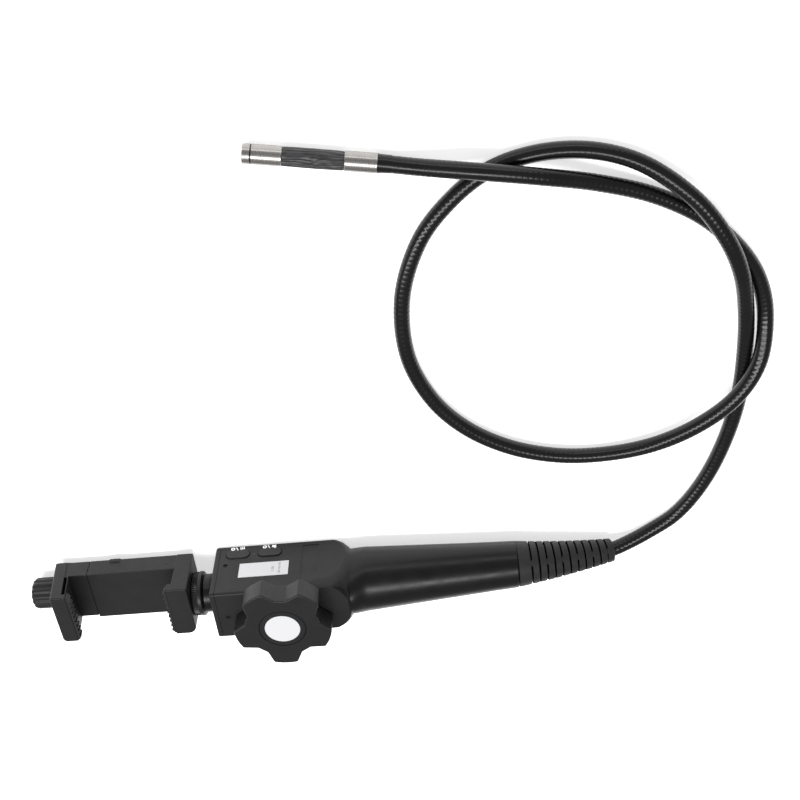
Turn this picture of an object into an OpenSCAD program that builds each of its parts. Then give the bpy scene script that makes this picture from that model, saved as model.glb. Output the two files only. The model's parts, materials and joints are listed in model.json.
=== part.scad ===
// Two-way articulating inspection camera with a phone-holder clamp.
// The origin is where the steering knob's axis meets the underside of the handle box.
// +Z is up, out of the knob face. -Y is the button face. +X runs along the handle to the clamp.

/* [Handle box] */
// Width of the box, across the knob face
box_w = 33; // [32:0.5:36]
// Height of the box, from the underside to the knob face
box_h = 39; // [38.5:0.5:41]
// Distance from the knob axis to the clamp end of the box
box_end = 39.5; // [39:0.5:41]
// Wall thickness of the mouldings
wall = 2; // [1.8:0.1:2.2]
// Radius on the long edges of the box
edge_r = 1.6; // [1:0.1:2]
// Thickness of the end cap
cap_t = 3; // [2.5:0.1:3.5]

/* [Grip and strain boot] */
// Length of the tapered grip
grip_l = 92.5; // [85:0.5:100]
// Diameter of the grip where it meets the box
grip_d = 36; // [34:0.2:37]
// Diameter of the grip where it meets the boot
grip_end_d = 25.8; // [24:0.2:27]
// Length of the strain boot
boot_l = 53.6; // [50:0.2:56]
// Width of the boot's first ring, next to the grip
boot_first = 6.6; // [4:0.2:8]
// Diameter of the boot's thin end
boot_end_d = 13; // [12:0.2:13.6]
// Number of rings in the boot
boot_rings = 12; // [8:1:14]
// Width of each slot between two rings
slot_w = 0.9; // [0.6:0.1:1.2]

/* [Steering knob] */
// Diameter over the lobes
knob_d = 53.6; // [50:0.2:56]
// Height of the knob
knob_h = 12.4; // [11:0.2:14]
// Number of lobes
lobes = 5; // [4:1:6]
// Depth of the notch between two lobes
notch_depth = 6.4; // [5:0.1:7]
// Width of a notch at its floor
notch_floor = 6; // [4:0.5:7]
// Angle of the first notch about the knob axis
notch_turn = 50; // [0:1:71]

/* [Buttons] */
// Length of a button
button_l = 13.7; // [12:0.1:14]
// Width of a button
button_w = 6.7; // [6:0.1:7]
// How far a button stands out of the face
button_proud = 0.6; // [0.5:0.1:1]

/* [Phone clamp] */
// Width of the jaws
jaw_w = 33.8; // [32:0.2:36]
// Height of the jaws over their whole section
jaw_h = 29.5; // [28:0.5:31]
// Thickness of the fixed jaw
fixed_jaw_t = 11.8; // [11:0.1:12.5]
// Thickness of the sliding jaw
slide_jaw_t = 8.8; // [8:0.1:10]
// Lean of the sliding jaw towards the fixed one, in degrees
jaw_lean = 6; // [0:0.5:8]
// Distance between the two jaws when closed
jaw_gap = 56; // [54:0.5:60]
// Thickness of the clamp bar
bar_t = 11.5; // [11:0.1:12.5]
// Diameter of the clamp's adjusting knob
adjust_d = 17.6; // [16:0.2:18.4]
// Length of the clamp's adjusting knob
adjust_l = 14.4; // [12:0.2:18]
// Diameter of the locking wheel
wheel_d = 25; // [23:0.2:26]

/* [Probe] */
// Outside diameter of the probe tube
tube_d = 8.2; // [7.6:0.1:8.2]
// Outside diameter of the steel parts of the tip
head_d = 9.4; // [9.2:0.1:9.4]
// Length of the rear ferrule
ferrule_l = 15; // [13:0.5:17]
// Length of the bending section
bend_l = 28.5; // [27:0.5:30]
// Length of the camera head
head_l = 18; // [17:0.5:20]

/* [Hidden] */
$fn = 48;

// Handle: from nose_x the box is cut to a ball that meets the grip's circle at grip_x
nose_x = -16;
grip_x = -38;
grip_z = grip_d / 2 + 0.1;
nose_r = norm([nose_x - grip_x, grip_d / 2]);
boot_x = grip_x - grip_l;
boot_z = 14.25;
droop = atan((grip_z - boot_z) / grip_l);
boot_d = grip_end_d;
boot_turn = 7.98;
cap_x = box_end - cap_t;
inner_w = box_w - 2 * wall;
inner_h = box_h - 2 * wall;

// Base cover and its screws
cover_x = [-18, 31];
cover_w = 25;
cover_fit = 0.1;
shelf_l = 7;
shelf_t = 1.5;
shelf_reach = 2.5;
base_screw_at = [[-15.5, -10], [-15.5, 10], [28.5, -10], [28.5, 10]];

// Face details: buttons, light, label and panel on the -Y face
button_at = [[26.2, 7.8], [8, 7.8]];
button_fit = 0.2;
light_at = [17.1, 7.8];
label_at = [10.5, 21.2];
label_size = [28, 11.4];
panel_at = [-15.2, 15.7];
panel_size = [9.6, 24];
face_screw_at = [32.5, 16.5];
top_screw_at = [31.2, 1];
face_screw_d = 2.6;
port_at = [24, 15.5];

// Steering shaft, drum and frame
shaft_r = 3;
knob_z = box_h + 0.6;
knob_top = knob_z + knob_h;
cap_r = 12.6;
disc_r = 9.6;
frame_z = 10.5;
frame_top = 35.3;
frame_t = 2;
drum_r = 9;
wire_r = 0.4;
wire_drum_r = 7.2;
wire_z = [22.5, 26.5];

// Clamp: its axis is the swivel stud's
axis_z = 19.5;
stud_r = 3.175;
run = 0.06;
neck_r = 10.75;
neck_end = 45.8;
wheel_x = [46.5, 52.2];
jaw_x = 52.5;
jaw_z = 4;
jaw_inner = jaw_x + fixed_jaw_t;
slide_x = jaw_inner + jaw_gap;
slide_end = slide_x + slide_jaw_t;
slide_foot = slide_end + jaw_h * tan(jaw_lean);
jaw_root = 62;
jaw_head = 28;
seam_x = 112;
seam_gap = 0.15;
bar_w = 33;
bar_z = jaw_z + bar_t / 2;
screw_r = 2.5;
rod_r = 2;
rod_y = 10;
rod_start = 72;
nut_x = [97, 104];
clip_x = seam_x + 0.6;
adjust_x = slide_foot + 0.4;
pad_t = 2;
pad_z = [28.2, 33.2];
rib_count = 9;

// Tip: its own axis starts at the front of the rear ferrule
tip_at = [-62, -246.6, 4.7];
tip_turn = -10;
hinge_pitch = 5.7;
hinge_1 = 2.85;
ring_l = 3;
ring_r = 3.9;
ring_bore = 2.9;
ear_r = 1.25;
pin_r = 0.5;
sheath_r = 4.65;
sheath_l = 3.4;
front_ring_l = 3.6;

// Centre line of the free tube, from the boot's mouth to the rear ferrule
ROUTE = [
    [-178, 0, 9.35], [-184.5, -0.3, 8.2], [-193, -3, 6.7], [-205, -9, 5.2], [-219, -19, 4.4],
    [-230, -34, 4.4], [-239, -53, 4.4], [-246, -76, 4.4], [-250, -99, 4.4], [-251, -126, 4.4],
    [-249, -152, 7.5], [-244, -175.5, 12.4], [-235, -196, 13.3], [-220.5, -215.5, 11],
    [-199, -232, 6.4], [-176, -240.5, 4.4], [-151, -242, 4.4], [-128, -236, 4.4], [-108.5, -222, 4.4],
    [-92, -201.5, 4.4], [-81.5, -172, 4.4], [-81, -139, 4.4], [-91, -111, 4.4], [-108, -90, 4.4],
    [-131, -75, 4.4], [-157, -67, 4.4], [-183, -66, 4.6], [-207, -72, 7], [-228, -86, 12],
    [-246, -103, 13.5], [-257, -122.5, 10.8], [-259.5, -146.5, 5.6], [-254.5, -167, 4.4],
    [-243.5, -185, 4.4], [-226, -202.5, 4.4], [-203, -216, 4.8],
    [-177, -226, 7.8], [-150, -234, 12.8], [-122, -239.5, 13.5], [-98, -242, 9.2], [-75, -244.4, 4.7]
];
tube_sides = 12;
tube_steps = 2;
boot_sides = 24;
root_end = 47.4;

// Centre line of the signal lead inside the handle, from the main board to the tube
LEAD = [
    [-1.3, -11.2, 31], [-10, -11, 29.4], [-24, -9, 21],
    [-40, -4, 13.6], [-70, -0.8, 11.3], [-122.2, 0, 12.75]
];
lead_r = 0.9;

// A point at share t of the way from p1 to p2 on the smooth curve through p0, p1, p2 and p3
function curve(p0, p1, p2, p3, t) =
    0.5 * (2 * p1 + (p2 - p0) * t + (2 * p0 - 5 * p1 + 4 * p2 - p3) * t * t
    + (3 * p1 - p0 - 3 * p2 + p3) * t * t * t);
function clip_index(points, i) = points[max(0, min(len(points) - 1, i))];
function along(points, i, t) = curve(
    clip_index(points, i - 1), clip_index(points, i),
    clip_index(points, i + 1), clip_index(points, i + 2), t);
function smooth(points, steps) = concat(
    [for (i = [0:len(points) - 2], k = [0:steps - 1]) along(points, i, k / steps)],
    [points[len(points) - 1]]);
function unit(v) = v / norm(v);
function heading(points, i) = unit(clip_index(points, i + 1) - clip_index(points, i - 1));
function lerp(a, b, t) = a + (b - a) * t;

// One ring of points about a centre, square to the heading t
function ring(centre, t, r, sides) =
    let (side = unit(cross(t, [0, 0, 1])), up = cross(side, t))
    [for (k = [0:sides - 1]) centre + r * (cos(k * 360 / sides) * side + sin(k * 360 / sides) * up)];
// Rings along a centre line, all of radius r
function rings_along(centres, r, sides) =
    [for (i = [0:len(centres) - 1]) ring(centres[i], heading(centres, i), r, sides)];
// The same four-cornered faces serve every skin between ring a and ring b of n points each
function wall_faces(a, b, n) =
    [for (k = [0:n - 1]) [a * n + k, b * n + k, b * n + (k + 1) % n, a * n + (k + 1) % n]];

// Boot axis: the angle below the horizontal grows steadily from the grip's droop
function boot_angle(s) = droop + boot_turn * s / boot_l;
function boot_heading(s) = [-cos(boot_angle(s)), 0, -sin(boot_angle(s))];
function boot_ring(s, r, sides) = ring(boot_point(s), boot_heading(s), r, sides);
function boot_point(s) = [
    boot_x - s, 0, boot_z - (droop * s + boot_turn * s * s / (2 * boot_l)) * PI / 180];
function boot_r(s) = lerp(boot_d, boot_end_d, s / boot_l) / 2;

// A solid rod through the rings, closed at both ends
module rod_through(rings) {
    n = len(rings[0]);
    last = len(rings) - 1;
    polyhedron(
        [for (r = rings) each r],
        concat(
            [[for (k = [0:n - 1]) k]],
            [for (i = [0:last - 1]) each wall_faces(i, i + 1, n)],
            [[for (k = [n - 1:-1:0]) last * n + k]]
        )
    );
}

// A hollow sleeve: the rings run out along the outside and back along the bore, to meet the first
module sleeve_through(rings) {
    count = len(rings);
    polyhedron(
        [for (r = rings) each r],
        [for (i = [0:count - 1]) each wall_faces(i, (i + 1) % count, len(rings[0]))]
    );
}

// A rectangle of w by h, centred, with true arcs of radius r in its corners
module round_rect(w, h, r) {
    square([w - 2 * r, h], center = true);
    square([w, h - 2 * r], center = true);
    for (x = [-1, 1], y = [-1, 1]) translate([x * (w / 2 - r), y * (h / 2 - r)]) circle(r);
}

// The same rectangle as a prism along X from x0 to x1, resting on z0
module box_x(x0, x1, w, h, r, z0) {
    translate([x0, 0, z0 + h / 2]) rotate([90, 0, 90]) linear_extrude(x1 - x0) round_rect(w, h, r);
}

// A cylinder along X from x0 to x1 at height z
module rod_x(x0, x1, r, y, z) {
    translate([x0, y, z]) rotate([0, 90, 0]) cylinder(r = r, h = x1 - x0);
}

// A cylinder along Y from y0 to y1
module rod_y(y0, y1, r, x, z) {
    translate([x, y0, z]) rotate([-90, 0, 0]) cylinder(r = r, h = y1 - y0);
}

// A stadium prism along Y
module stadium_y(y0, y1, l, w, x, z) {
    translate([x, y1, z]) rotate([90, 0, 0]) linear_extrude(y1 - y0) {
        square([l - w, w], center = true);
        for (s = [-1, 1]) translate([s * (l - w) / 2, 0]) circle(w / 2);
    }
}

// A straight cylinder between two points
module bar_between(a, b, r) {
    d = b - a;
    translate(a) rotate([0, acos(d[2] / norm(d)), atan2(d[1], d[0])])
        cylinder(r = r, h = norm(d), $fn = 16);
}

// A screw along its own +Z: head below the origin's plane, shank above
module screw(head_r, head_h, shank_r, l) {
    difference() {
        cylinder(r = head_r, h = head_h);
        translate([0, 0, -0.1]) cylinder(r = head_r * 0.45, h = head_h * 0.6, $fn = 6);
    }
    translate([0, 0, head_h]) cylinder(r = shank_r, h = l);
}

module grip_start() {
    translate([grip_x, 0, grip_z]) rotate([0, -90 - droop, 0]) children();
}

// What lies outside the ball, behind nose_x
module beyond_nose(r) {
    difference() {
        translate([nose_x - 60, -40, -40]) cube([60, 80, 120]);
        translate([nose_x, 0, grip_z]) sphere(r = r);
    }
}

// The tapered grip with margin m taken off, from z0 to z1 along its axis
module grip_cone(m, z0, z1) {
    taper = (grip_end_d - grip_d) / 2 / grip_l;
    grip_start() translate([0, 0, z0])
        cylinder(r1 = grip_d / 2 - m + taper * z0, r2 = grip_d / 2 - m + taper * z1, h = z1 - z0);
}

// Four corner shelves inside the box that the base cover is screwed to
module cover_shelves() {
    for (p = base_screw_at)
        translate([p[0] - shelf_l / 2, p[1] > 0 ? p[1] - shelf_reach : -inner_w / 2 - 1, wall - 0.05])
            cube([shelf_l, inner_w / 2 + 1 - abs(p[1]) + shelf_reach, shelf_t]);
}

module handle_body() {
    color([0.09, 0.09, 0.1]) difference() {
        union() {
            difference() {
                box_x(grip_x - 2, cap_x, box_w, box_h, edge_r, 0);
                beyond_nose(nose_r);
            }
            grip_cone(0, -1, grip_l - 0.1);
        }
        difference() {
            union() {
                translate([grip_x, -inner_w / 2, wall])
                    cube([cap_x - grip_x + 1, inner_w, inner_h]);
                translate([cover_x[0], -cover_w / 2, -1])
                    cube([cover_x[1] - cover_x[0], cover_w, wall + 1.5]);
            }
            beyond_nose(nose_r - wall);
            cover_shelves();
        }
        grip_cone(wall, -3, grip_l + 1);
        for (p = button_at) stadium_y(
            -box_w, -inner_w / 2 + 0.5, button_l + 2 * button_fit, button_w + 2 * button_fit, p[0], p[1]);
        rod_y(-box_w, 0, 0.8, light_at[0], light_at[1]);
        rod_y(-box_w, 0, face_screw_d / 2, face_screw_at[0], face_screw_at[1]);
        translate([top_screw_at[0], top_screw_at[1], box_h - 5]) cylinder(r = face_screw_d / 2, h = 9);
        translate([panel_at[0] - panel_size[0] / 2, -box_w / 2 - 1, panel_at[1] - panel_size[1] / 2])
            cube([panel_size[0], 1.4, panel_size[1]]);
        translate([label_at[0] - label_size[0] / 2, -box_w / 2 - 1, label_at[1] - label_size[1] / 2])
            cube([label_size[0], 1.15, label_size[1]]);
        translate([0, 0, box_h - 5]) cylinder(r = 5, h = 9);
        translate([port_at[0] - 4.3, 10, port_at[1] - 1.7]) cube([8.6, 10, 3.4]);
        for (p = base_screw_at) translate([p[0], p[1], 0]) cylinder(r = 1.1, h = 6);
    }
}

module base_cover() {
    color([0.1, 0.1, 0.11]) difference() {
        translate([cover_x[0] + cover_fit, -cover_w / 2 + cover_fit, 0])
            cube([cover_x[1] - cover_x[0] - 2 * cover_fit, cover_w - 2 * cover_fit, wall - 0.1]);
        for (p = base_screw_at) {
            translate([p[0], p[1], -1]) cylinder(r = 1.1, h = 6);
            translate([p[0], p[1], -1]) cylinder(r = 2.1, h = 2.2);
        }
    }
}

module base_screws() {
    color([0.35, 0.35, 0.37])
    for (p = base_screw_at) translate([p[0], p[1], 0.1]) screw(2, 1.1, 1.05, 2.2);
}

module end_cap() {
    color([0.08, 0.08, 0.09]) difference() {
        union() {
            box_x(cap_x, box_end, box_w, box_h, edge_r, 0);
            rod_x(box_end - 1, neck_end, neck_r, 0, axis_z);
            box_x(34.2, cap_x, inner_w - 0.1, inner_h - 0.1, edge_r, wall + 0.05);
            translate([29.5, -inner_w / 2 + 0.05, face_screw_at[1] - 3]) cube([5, 3, 6]);
            translate([28.5, top_screw_at[1] - 3, box_h - wall - 3.05]) cube([6.5, 6, 3]);
        }
        box_x(32, cap_x, inner_w - 5, inner_h - 5, edge_r, wall + 2.5);
        rod_x(30, neck_end + 1, stud_r, 0, axis_z);
        rod_y(-box_w, -10, 1, face_screw_at[0], face_screw_at[1]);
        translate([top_screw_at[0], top_screw_at[1], box_h - 9]) cylinder(r = 1, h = 9);
    }
}

module end_screws() {
    color([0.25, 0.25, 0.27]) {
        translate([face_screw_at[0], -box_w / 2 + 0.7, face_screw_at[1]]) rotate([-90, 0, 0])
            screw(1.3, 1.3, 1, 2.6);
        translate([top_screw_at[0], top_screw_at[1], box_h - 0.7]) rotate([180, 0, 0])
            screw(1.3, 1.3, 1, 2.6);
    }
}

module name_label() {
    color([0.93, 0.93, 0.94])
    translate([label_at[0], -box_w / 2 + 0.05, label_at[1]])
        cube([label_size[0] - 0.2, 0.2, label_size[1] - 0.2], center = true);
}

module status_light() {
    color([0.75, 0.8, 0.85]) rod_y(-box_w / 2 + 0.1, -11.9, 0.8, light_at[0], light_at[1]);
}

module at_boot(s) {
    translate(boot_point(s)) rotate([0, -90 - boot_angle(s), 0]) children();
}

// Boot: lands of the tapering radius with a round slot after each, down to a core, and a bore for the tube
module strain_boot() {
    pitch = (boot_l - boot_first) / (boot_rings - 1);
    bore = tube_d / 2 + 0.1;
    slots = [
        for (i = [0:boot_rings - 2])
            let (a = boot_first + i * pitch, b = a + slot_w, core = lerp(9.4, 5.4, (i + 1) / boot_rings))
            each [[a, boot_r(a)], [a, core], [b, core], [b, boot_r(b)]]
    ];
    outside = concat([[0, boot_r(0)]], slots, [[boot_l, boot_r(boot_l)]]);
    inside = [for (i = [boot_rings:-1:0]) [i * boot_l / boot_rings, bore]];
    color([0.1, 0.1, 0.11])
    sleeve_through([for (p = concat(outside, inside)) boot_ring(p[0], p[1], boot_sides)]);
}

module tube_anchor() {
    color([0.72, 0.68, 0.5]) at_boot(-0.2) translate([0, 0, -9]) difference() {
        cylinder(r1 = grip_end_d / 2 - wall + 0.4, r2 = grip_end_d / 2 - wall - 0.05, h = 9);
        translate([0, 0, -1]) cylinder(r = tube_d / 2, h = 11);
    }
}

// The stretch of tube that the anchor and the boot hold
module tube_root() {
    stations = [-8, 0, 8, 16, 24, 32, 40, root_end];
    color([0.06, 0.06, 0.07]) rod_through([for (s = stations) boot_ring(s, tube_d / 2, tube_sides)]);
}

module tube() {
    color([0.06, 0.06, 0.07]) rod_through(rings_along(smooth(ROUTE, tube_steps), tube_d / 2, tube_sides));
}

// Everything on the tip is drawn along +Z of this frame, which is the tip's own axis
module on_tip(x) {
    translate(tip_at) rotate([0, 0, tip_turn]) rotate([0, 90, 0]) translate([0, 0, x]) children();
}

// Two ears that reach forward from x0 to the hinge at x1, outside the next link's
module outer_ears(x0, x1) {
    for (s = [-1, 1]) on_tip(0) difference() {
        union() {
            translate([s * 3.68 - 0.22, -ear_r, x0]) cube([0.44, 2 * ear_r, x1 - x0]);
            translate([s * 3.68 - 0.22, 0, x1]) rotate([0, 90, 0]) cylinder(r = ear_r, h = 0.44);
        }
        translate([s * 3.68 - 1, 0, x1]) rotate([0, 90, 0]) cylinder(r = pin_r + run, h = 2);
    }
}

// Two ears that reach back from x1 to the hinge at x0, each with its rivet pin
module inner_ears(x0, x1) {
    for (s = [-1, 1]) on_tip(0) {
        translate([s * 3.12 - 0.22, -ear_r, x0]) cube([0.44, 2 * ear_r, x1 - x0]);
        translate([s * 3.12 - 0.22, 0, x0]) rotate([0, 90, 0]) cylinder(r = ear_r, h = 0.44);
        translate([s > 0 ? 3 : -3.9, 0, x0]) rotate([0, 90, 0]) cylinder(r = pin_r, h = 0.9);
    }
}

function hinge(k) = hinge_1 + (k - 1) * hinge_pitch;

module rear_ferrule() {
    color([0.75, 0.75, 0.76]) {
        on_tip(-ferrule_l) difference() {
            cylinder(r = head_d / 2, h = ferrule_l);
            translate([0, 0, -1]) cylinder(r = tube_d / 2 - 0.05, h = 4);
            translate([0, 0, 4]) cylinder(r = ring_bore, h = ferrule_l);
        }
        outer_ears(-1, hinge(1));
    }
}

module ferrule_collar() {
    color([0.07, 0.07, 0.08]) on_tip(-ferrule_l - 5) difference() {
        cylinder(r1 = tube_d / 2 + 0.15, r2 = head_d / 2 - 0.1, h = 5);
        translate([0, 0, -1]) cylinder(r = tube_d / 2 - 0.05, h = 7);
    }
}

module link(k) {
    mid = (hinge(k) + hinge(k + 1)) / 2;
    color([0.7, 0.7, 0.71]) {
        on_tip(mid - ring_l / 2) difference() {
            cylinder(r = ring_r, h = ring_l);
            translate([0, 0, -1]) cylinder(r = ring_bore, h = ring_l + 2);
        }
        inner_ears(hinge(k), mid - ring_l / 2 + 0.1);
        outer_ears(mid + ring_l / 2 - 0.1, hinge(k + 1));
    }
}

module link_1() { link(1); }
module link_2() { link(2); }
module link_3() { link(3); }
module link_4() { link(4); }

module sheath_ring(k) {
    mid = (hinge(k) + hinge(k + 1)) / 2;
    color([0.08, 0.08, 0.09]) on_tip(mid - sheath_l / 2) difference() {
        cylinder(r = sheath_r, h = sheath_l);
        translate([0, 0, -1]) cylinder(r = 4.15, h = sheath_l + 2);
    }
}

module sheath_ring_1() { sheath_ring(1); }
module sheath_ring_2() { sheath_ring(2); }
module sheath_ring_3() { sheath_ring(3); }
module sheath_ring_4() { sheath_ring(4); }

module head_barrel() {
    color([0.75, 0.75, 0.76]) {
        on_tip(bend_l) difference() {
            cylinder(r = head_d / 2, h = head_l - front_ring_l - 0.1);
            translate([0, 0, -1]) cylinder(r = ring_bore, h = 4);
            translate([0, 0, 6]) cylinder(r = 3.9, h = head_l);
        }
        inner_ears(hinge(5), bend_l + 0.1);
    }
}

module front_ring() {
    color([0.7, 0.7, 0.71]) on_tip(bend_l + head_l - front_ring_l) difference() {
        union() {
            cylinder(r = head_d / 2, h = front_ring_l - 0.3);
            cylinder(r = head_d / 2 - 0.3, h = front_ring_l);
        }
        translate([0, 0, -1]) cylinder(r = 3.6, h = front_ring_l + 2);
    }
}

module lens_window() {
    color([0.3, 0.35, 0.4]) on_tip(bend_l + head_l - 1.1) cylinder(r = 3.55, h = 0.9);
}

// Sensor block with its lens tube and a ring of six lamps
module lamp_board() {
    face = bend_l + head_l - 2.4;
    color([0.85, 0.82, 0.6]) {
        on_tip(face - 1) cylinder(r = 3.5, h = 1);
        on_tip(face - 0.1) cylinder(r = 1.6, h = 1.3);
        on_tip(face - 6) translate([-2.2, -2.2, 0]) cube([4.4, 4.4, 5.1]);
        for (i = [0:5]) on_tip(face - 0.1) rotate([0, 0, i * 60]) translate([2.6, 0, 0.35])
            cube([0.9, 0.9, 0.7], center = true);
    }
}

// C-shaped frame that carries the steering shaft
module drum_frame() {
    color([0.6, 0.6, 0.62]) difference() {
        translate([-13, -9.5, frame_z]) cube([27, 19, frame_top - frame_z]);
        translate([-14, -10, frame_z + frame_t]) cube([26, 20, frame_top - frame_z - 2 * frame_t]);
        translate([0, 0, frame_z - 1]) cylinder(r = 4.5, h = frame_t + 2);
        translate([0, 0, frame_top - frame_t - 1]) cylinder(r = shaft_r + 0.5, h = frame_t + 2);
    }
}

module lower_bush() {
    color([0.72, 0.6, 0.35]) translate([0, 0, frame_z]) difference() {
        cylinder(r = 4.5, h = frame_t);
        translate([0, 0, -1]) cylinder(r = shaft_r + run, h = frame_t + 2);
    }
}

module knob_bush() {
    color([0.72, 0.6, 0.35]) translate([0, 0, box_h - 3.4]) difference() {
        union() {
            cylinder(r = 5, h = 3.6);
            cylinder(r = 6.5, h = 1.2);
        }
        translate([0, 0, -1]) cylinder(r = shaft_r + run, h = 6);
    }
}

module pull_wires() {
    color([0.6, 0.6, 0.62])
    for (i = [0, 1]) let (s = 2 * i - 1)
        bar_between([-1, s * wire_drum_r, wire_z[i]], [boot_x + 10, s * 2.4, boot_z + 0.4], wire_r);
}

module signal_lead() {
    color([0.15, 0.15, 0.16]) rod_through(rings_along(smooth(LEAD, 3), lead_r, 8));
}

module main_board() {
    color([0.05, 0.3, 0.15]) translate([-1, -11.9, 4]) cube([30, 1.2, 30]);
}

module wifi_module() {
    color([0.7, 0.7, 0.68]) translate([3, -13.9, 14]) cube([20, 2, 15]);
}

module button_switches() {
    color([0.3, 0.3, 0.3]) for (p = button_at) {
        translate([p[0] - 2.6, -12.9, p[1] - 2.6]) cube([5.2, 1, 5.2]);
        rod_y(-13.3, -12.8, 1.2, p[0], p[1]);
    }
}

module battery() {
    color([0.35, 0.45, 0.6]) translate([-17, -9, 3.8]) cube([42, 21, 5.4]);
}

module charge_board() {
    color([0.05, 0.3, 0.15]) translate([port_at[0] - 7, 6, port_at[1] - 2.5]) cube([12, 8.2, 1]);
}

module charge_port() {
    color([0.75, 0.75, 0.77]) translate([port_at[0] - 3.8, 10.2, port_at[1] - 1.5]) difference() {
        cube([7.6, 6, 3]);
        translate([0.5, 1, 0.5]) cube([6.6, 6, 2]);
    }
}

module swivel_stud() {
    color([0.6, 0.6, 0.62]) {
        rod_x(34.5, cap_x, 8, 0, axis_z);
        rod_x(cap_x - 0.5, 62.5, stud_r, 0, axis_z);
    }
}

module stud_washer() {
    color([0.12, 0.12, 0.12]) difference() {
        rod_x(neck_end, wheel_x[0] - 0.3, 8.5, 0, axis_z);
        rod_x(neck_end - 1, wheel_x[0] + 1, stud_r, 0, axis_z);
    }
}

// Trapezoid notch that opens outwards
module notch() {
    rim = notch_depth + 1.5;
    inner = knob_d / 2 - notch_depth;
    polygon([
        [inner, -notch_floor / 2], [inner + rim, -notch_floor / 2 - rim * 1.08],
        [inner + rim, notch_floor / 2 + rim * 1.08], [inner, notch_floor / 2]
    ]);
}

module steering_knob() {
    color([0.1, 0.1, 0.11]) difference() {
        union() {
            translate([0, 0, knob_z]) cylinder(r = knob_d / 2, h = knob_h - 0.8, $fn = 96);
            translate([0, 0, knob_top - 0.8])
                cylinder(r1 = knob_d / 2, r2 = knob_d / 2 - 0.8, h = 0.8, $fn = 96);
        }
        for (i = [0:lobes - 1]) rotate([0, 0, notch_turn + i * 360 / lobes])
            translate([0, 0, knob_z - 1]) linear_extrude(knob_h + 2) notch();
        translate([0, 0, knob_top - 3]) cylinder(r = cap_r + 0.3, h = 4);
        translate([0, 0, knob_z - 1]) cylinder(r = shaft_r, h = knob_h + 2);
        translate([0, 0, knob_z - 1]) difference() {
            cylinder(r = 17.5, h = 8.5);
            cylinder(r = 6, h = 8.5);
        }
    }
}

module knob_cap() {
    color([0.11, 0.11, 0.12]) difference() {
        translate([0, 0, knob_top - 2.9]) cylinder(r = cap_r, h = 2.9);
        translate([0, 0, knob_top - 0.5]) cylinder(r = disc_r + 0.05, h = 1);
        translate([0, 0, knob_top - 4]) cylinder(r = 4, h = 2.9);
    }
}

module knob_disc() {
    color([0.95, 0.95, 0.96]) translate([0, 0, knob_top - 0.5]) cylinder(r = disc_r, h = 0.6);
}

module knob_screw() {
    color([0.6, 0.6, 0.62]) {
        translate([0, 0, knob_top - 3]) cylinder(r = 2.8, h = 1.6);
        translate([0, 0, knob_top - 9]) cylinder(r = 1.5, h = 6.1);
    }
}

module knob_shaft() {
    color([0.65, 0.65, 0.67]) difference() {
        translate([0, 0, frame_z - 1]) cylinder(r = shaft_r, h = knob_top - 3.2 - frame_z + 1);
        translate([0, 0, knob_top - 9]) cylinder(r = 1.5, h = 7);
    }
}

module wire_drum() {
    color([0.7, 0.7, 0.65]) difference() {
        union() {
            translate([0, 0, 13.6]) cylinder(r = 5, h = 18.4);
            translate([0, 0, wire_z[0] - 2.5]) cylinder(r = drum_r, h = wire_z[1] - wire_z[0] + 5);
        }
        for (z = wire_z) translate([0, 0, z - 0.8]) difference() {
            cylinder(r = drum_r + 1, h = 1.6);
            translate([0, 0, -1]) cylinder(r = wire_drum_r - wire_r - 0.1, h = 4);
        }
        translate([0, 0, 12]) cylinder(r = shaft_r, h = 22);
    }
}

module drag_washer() {
    color([0.65, 0.65, 0.67]) translate([0, 0, frame_z + frame_t + 0.1]) difference() {
        cylinder(r = 6.5, h = 0.9);
        translate([0, 0, -1]) cylinder(r = shaft_r + 0.02, h = 3);
    }
}

module shaft_clip() {
    color([0.5, 0.5, 0.52]) translate([0, 0, frame_z - 0.9]) difference() {
        cylinder(r = 4.4, h = 0.7);
        translate([0, 0, -1]) cylinder(r = shaft_r, h = 3);
        translate([shaft_r - 1, -1, -1]) cube([4, 2, 3]);
    }
}

module push_button(p) {
    color([0.13, 0.13, 0.14]) {
        stadium_y(-box_w / 2 - button_proud, -inner_w / 2 + 0.2, button_l, button_w, p[0], p[1]);
        stadium_y(-inner_w / 2 + 0.1, -inner_w / 2 + 0.6, button_l + 1.4, button_w + 1.4, p[0], p[1]);
    }
}

module photo_button() { push_button(button_at[0]); }
module power_button() { push_button(button_at[1]); }

// Knurled wheel: a ring of small teeth around a plain core
module locking_wheel() {
    teeth = 44;
    r = wheel_d / 2;
    color([0.14, 0.14, 0.15]) difference() {
        translate([wheel_x[0], 0, axis_z]) rotate([90, 0, 90]) linear_extrude(wheel_x[1] - wheel_x[0])
            polygon([for (i = [0:2 * teeth - 1])
                (i % 2 == 0 ? r : r - 0.6) * [cos(i * 180 / teeth), sin(i * 180 / teeth)]]);
        rod_x(wheel_x[0] - 1, wheel_x[1] + 1, stud_r + run, 0, axis_z);
        rod_x(wheel_x[1] - 0.8, wheel_x[1] + 1, 9, 0, axis_z);
    }
}

// Jaw outline seen from above, rounded on the outer corners
module jaw_plan(x0, x1, w, left, right) {
    difference() {
        translate([x0, -w / 2]) square([x1 - x0, w]);
        for (i = [0, 1]) {
            if (left[i] > 0) translate([x0, (i - 0.5) * w]) square(2 * left[i], center = true);
            if (right[i] > 0) translate([x1, (i - 0.5) * w]) square(2 * right[i], center = true);
        }
    }
    for (i = [0, 1]) {
        if (left[i] > 0) translate([x0 + left[i], (2 * i - 1) * (w / 2 - left[i])]) circle(left[i]);
        if (right[i] > 0) translate([x1 - right[i], (2 * i - 1) * (w / 2 - right[i])]) circle(right[i]);
    }
}

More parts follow.
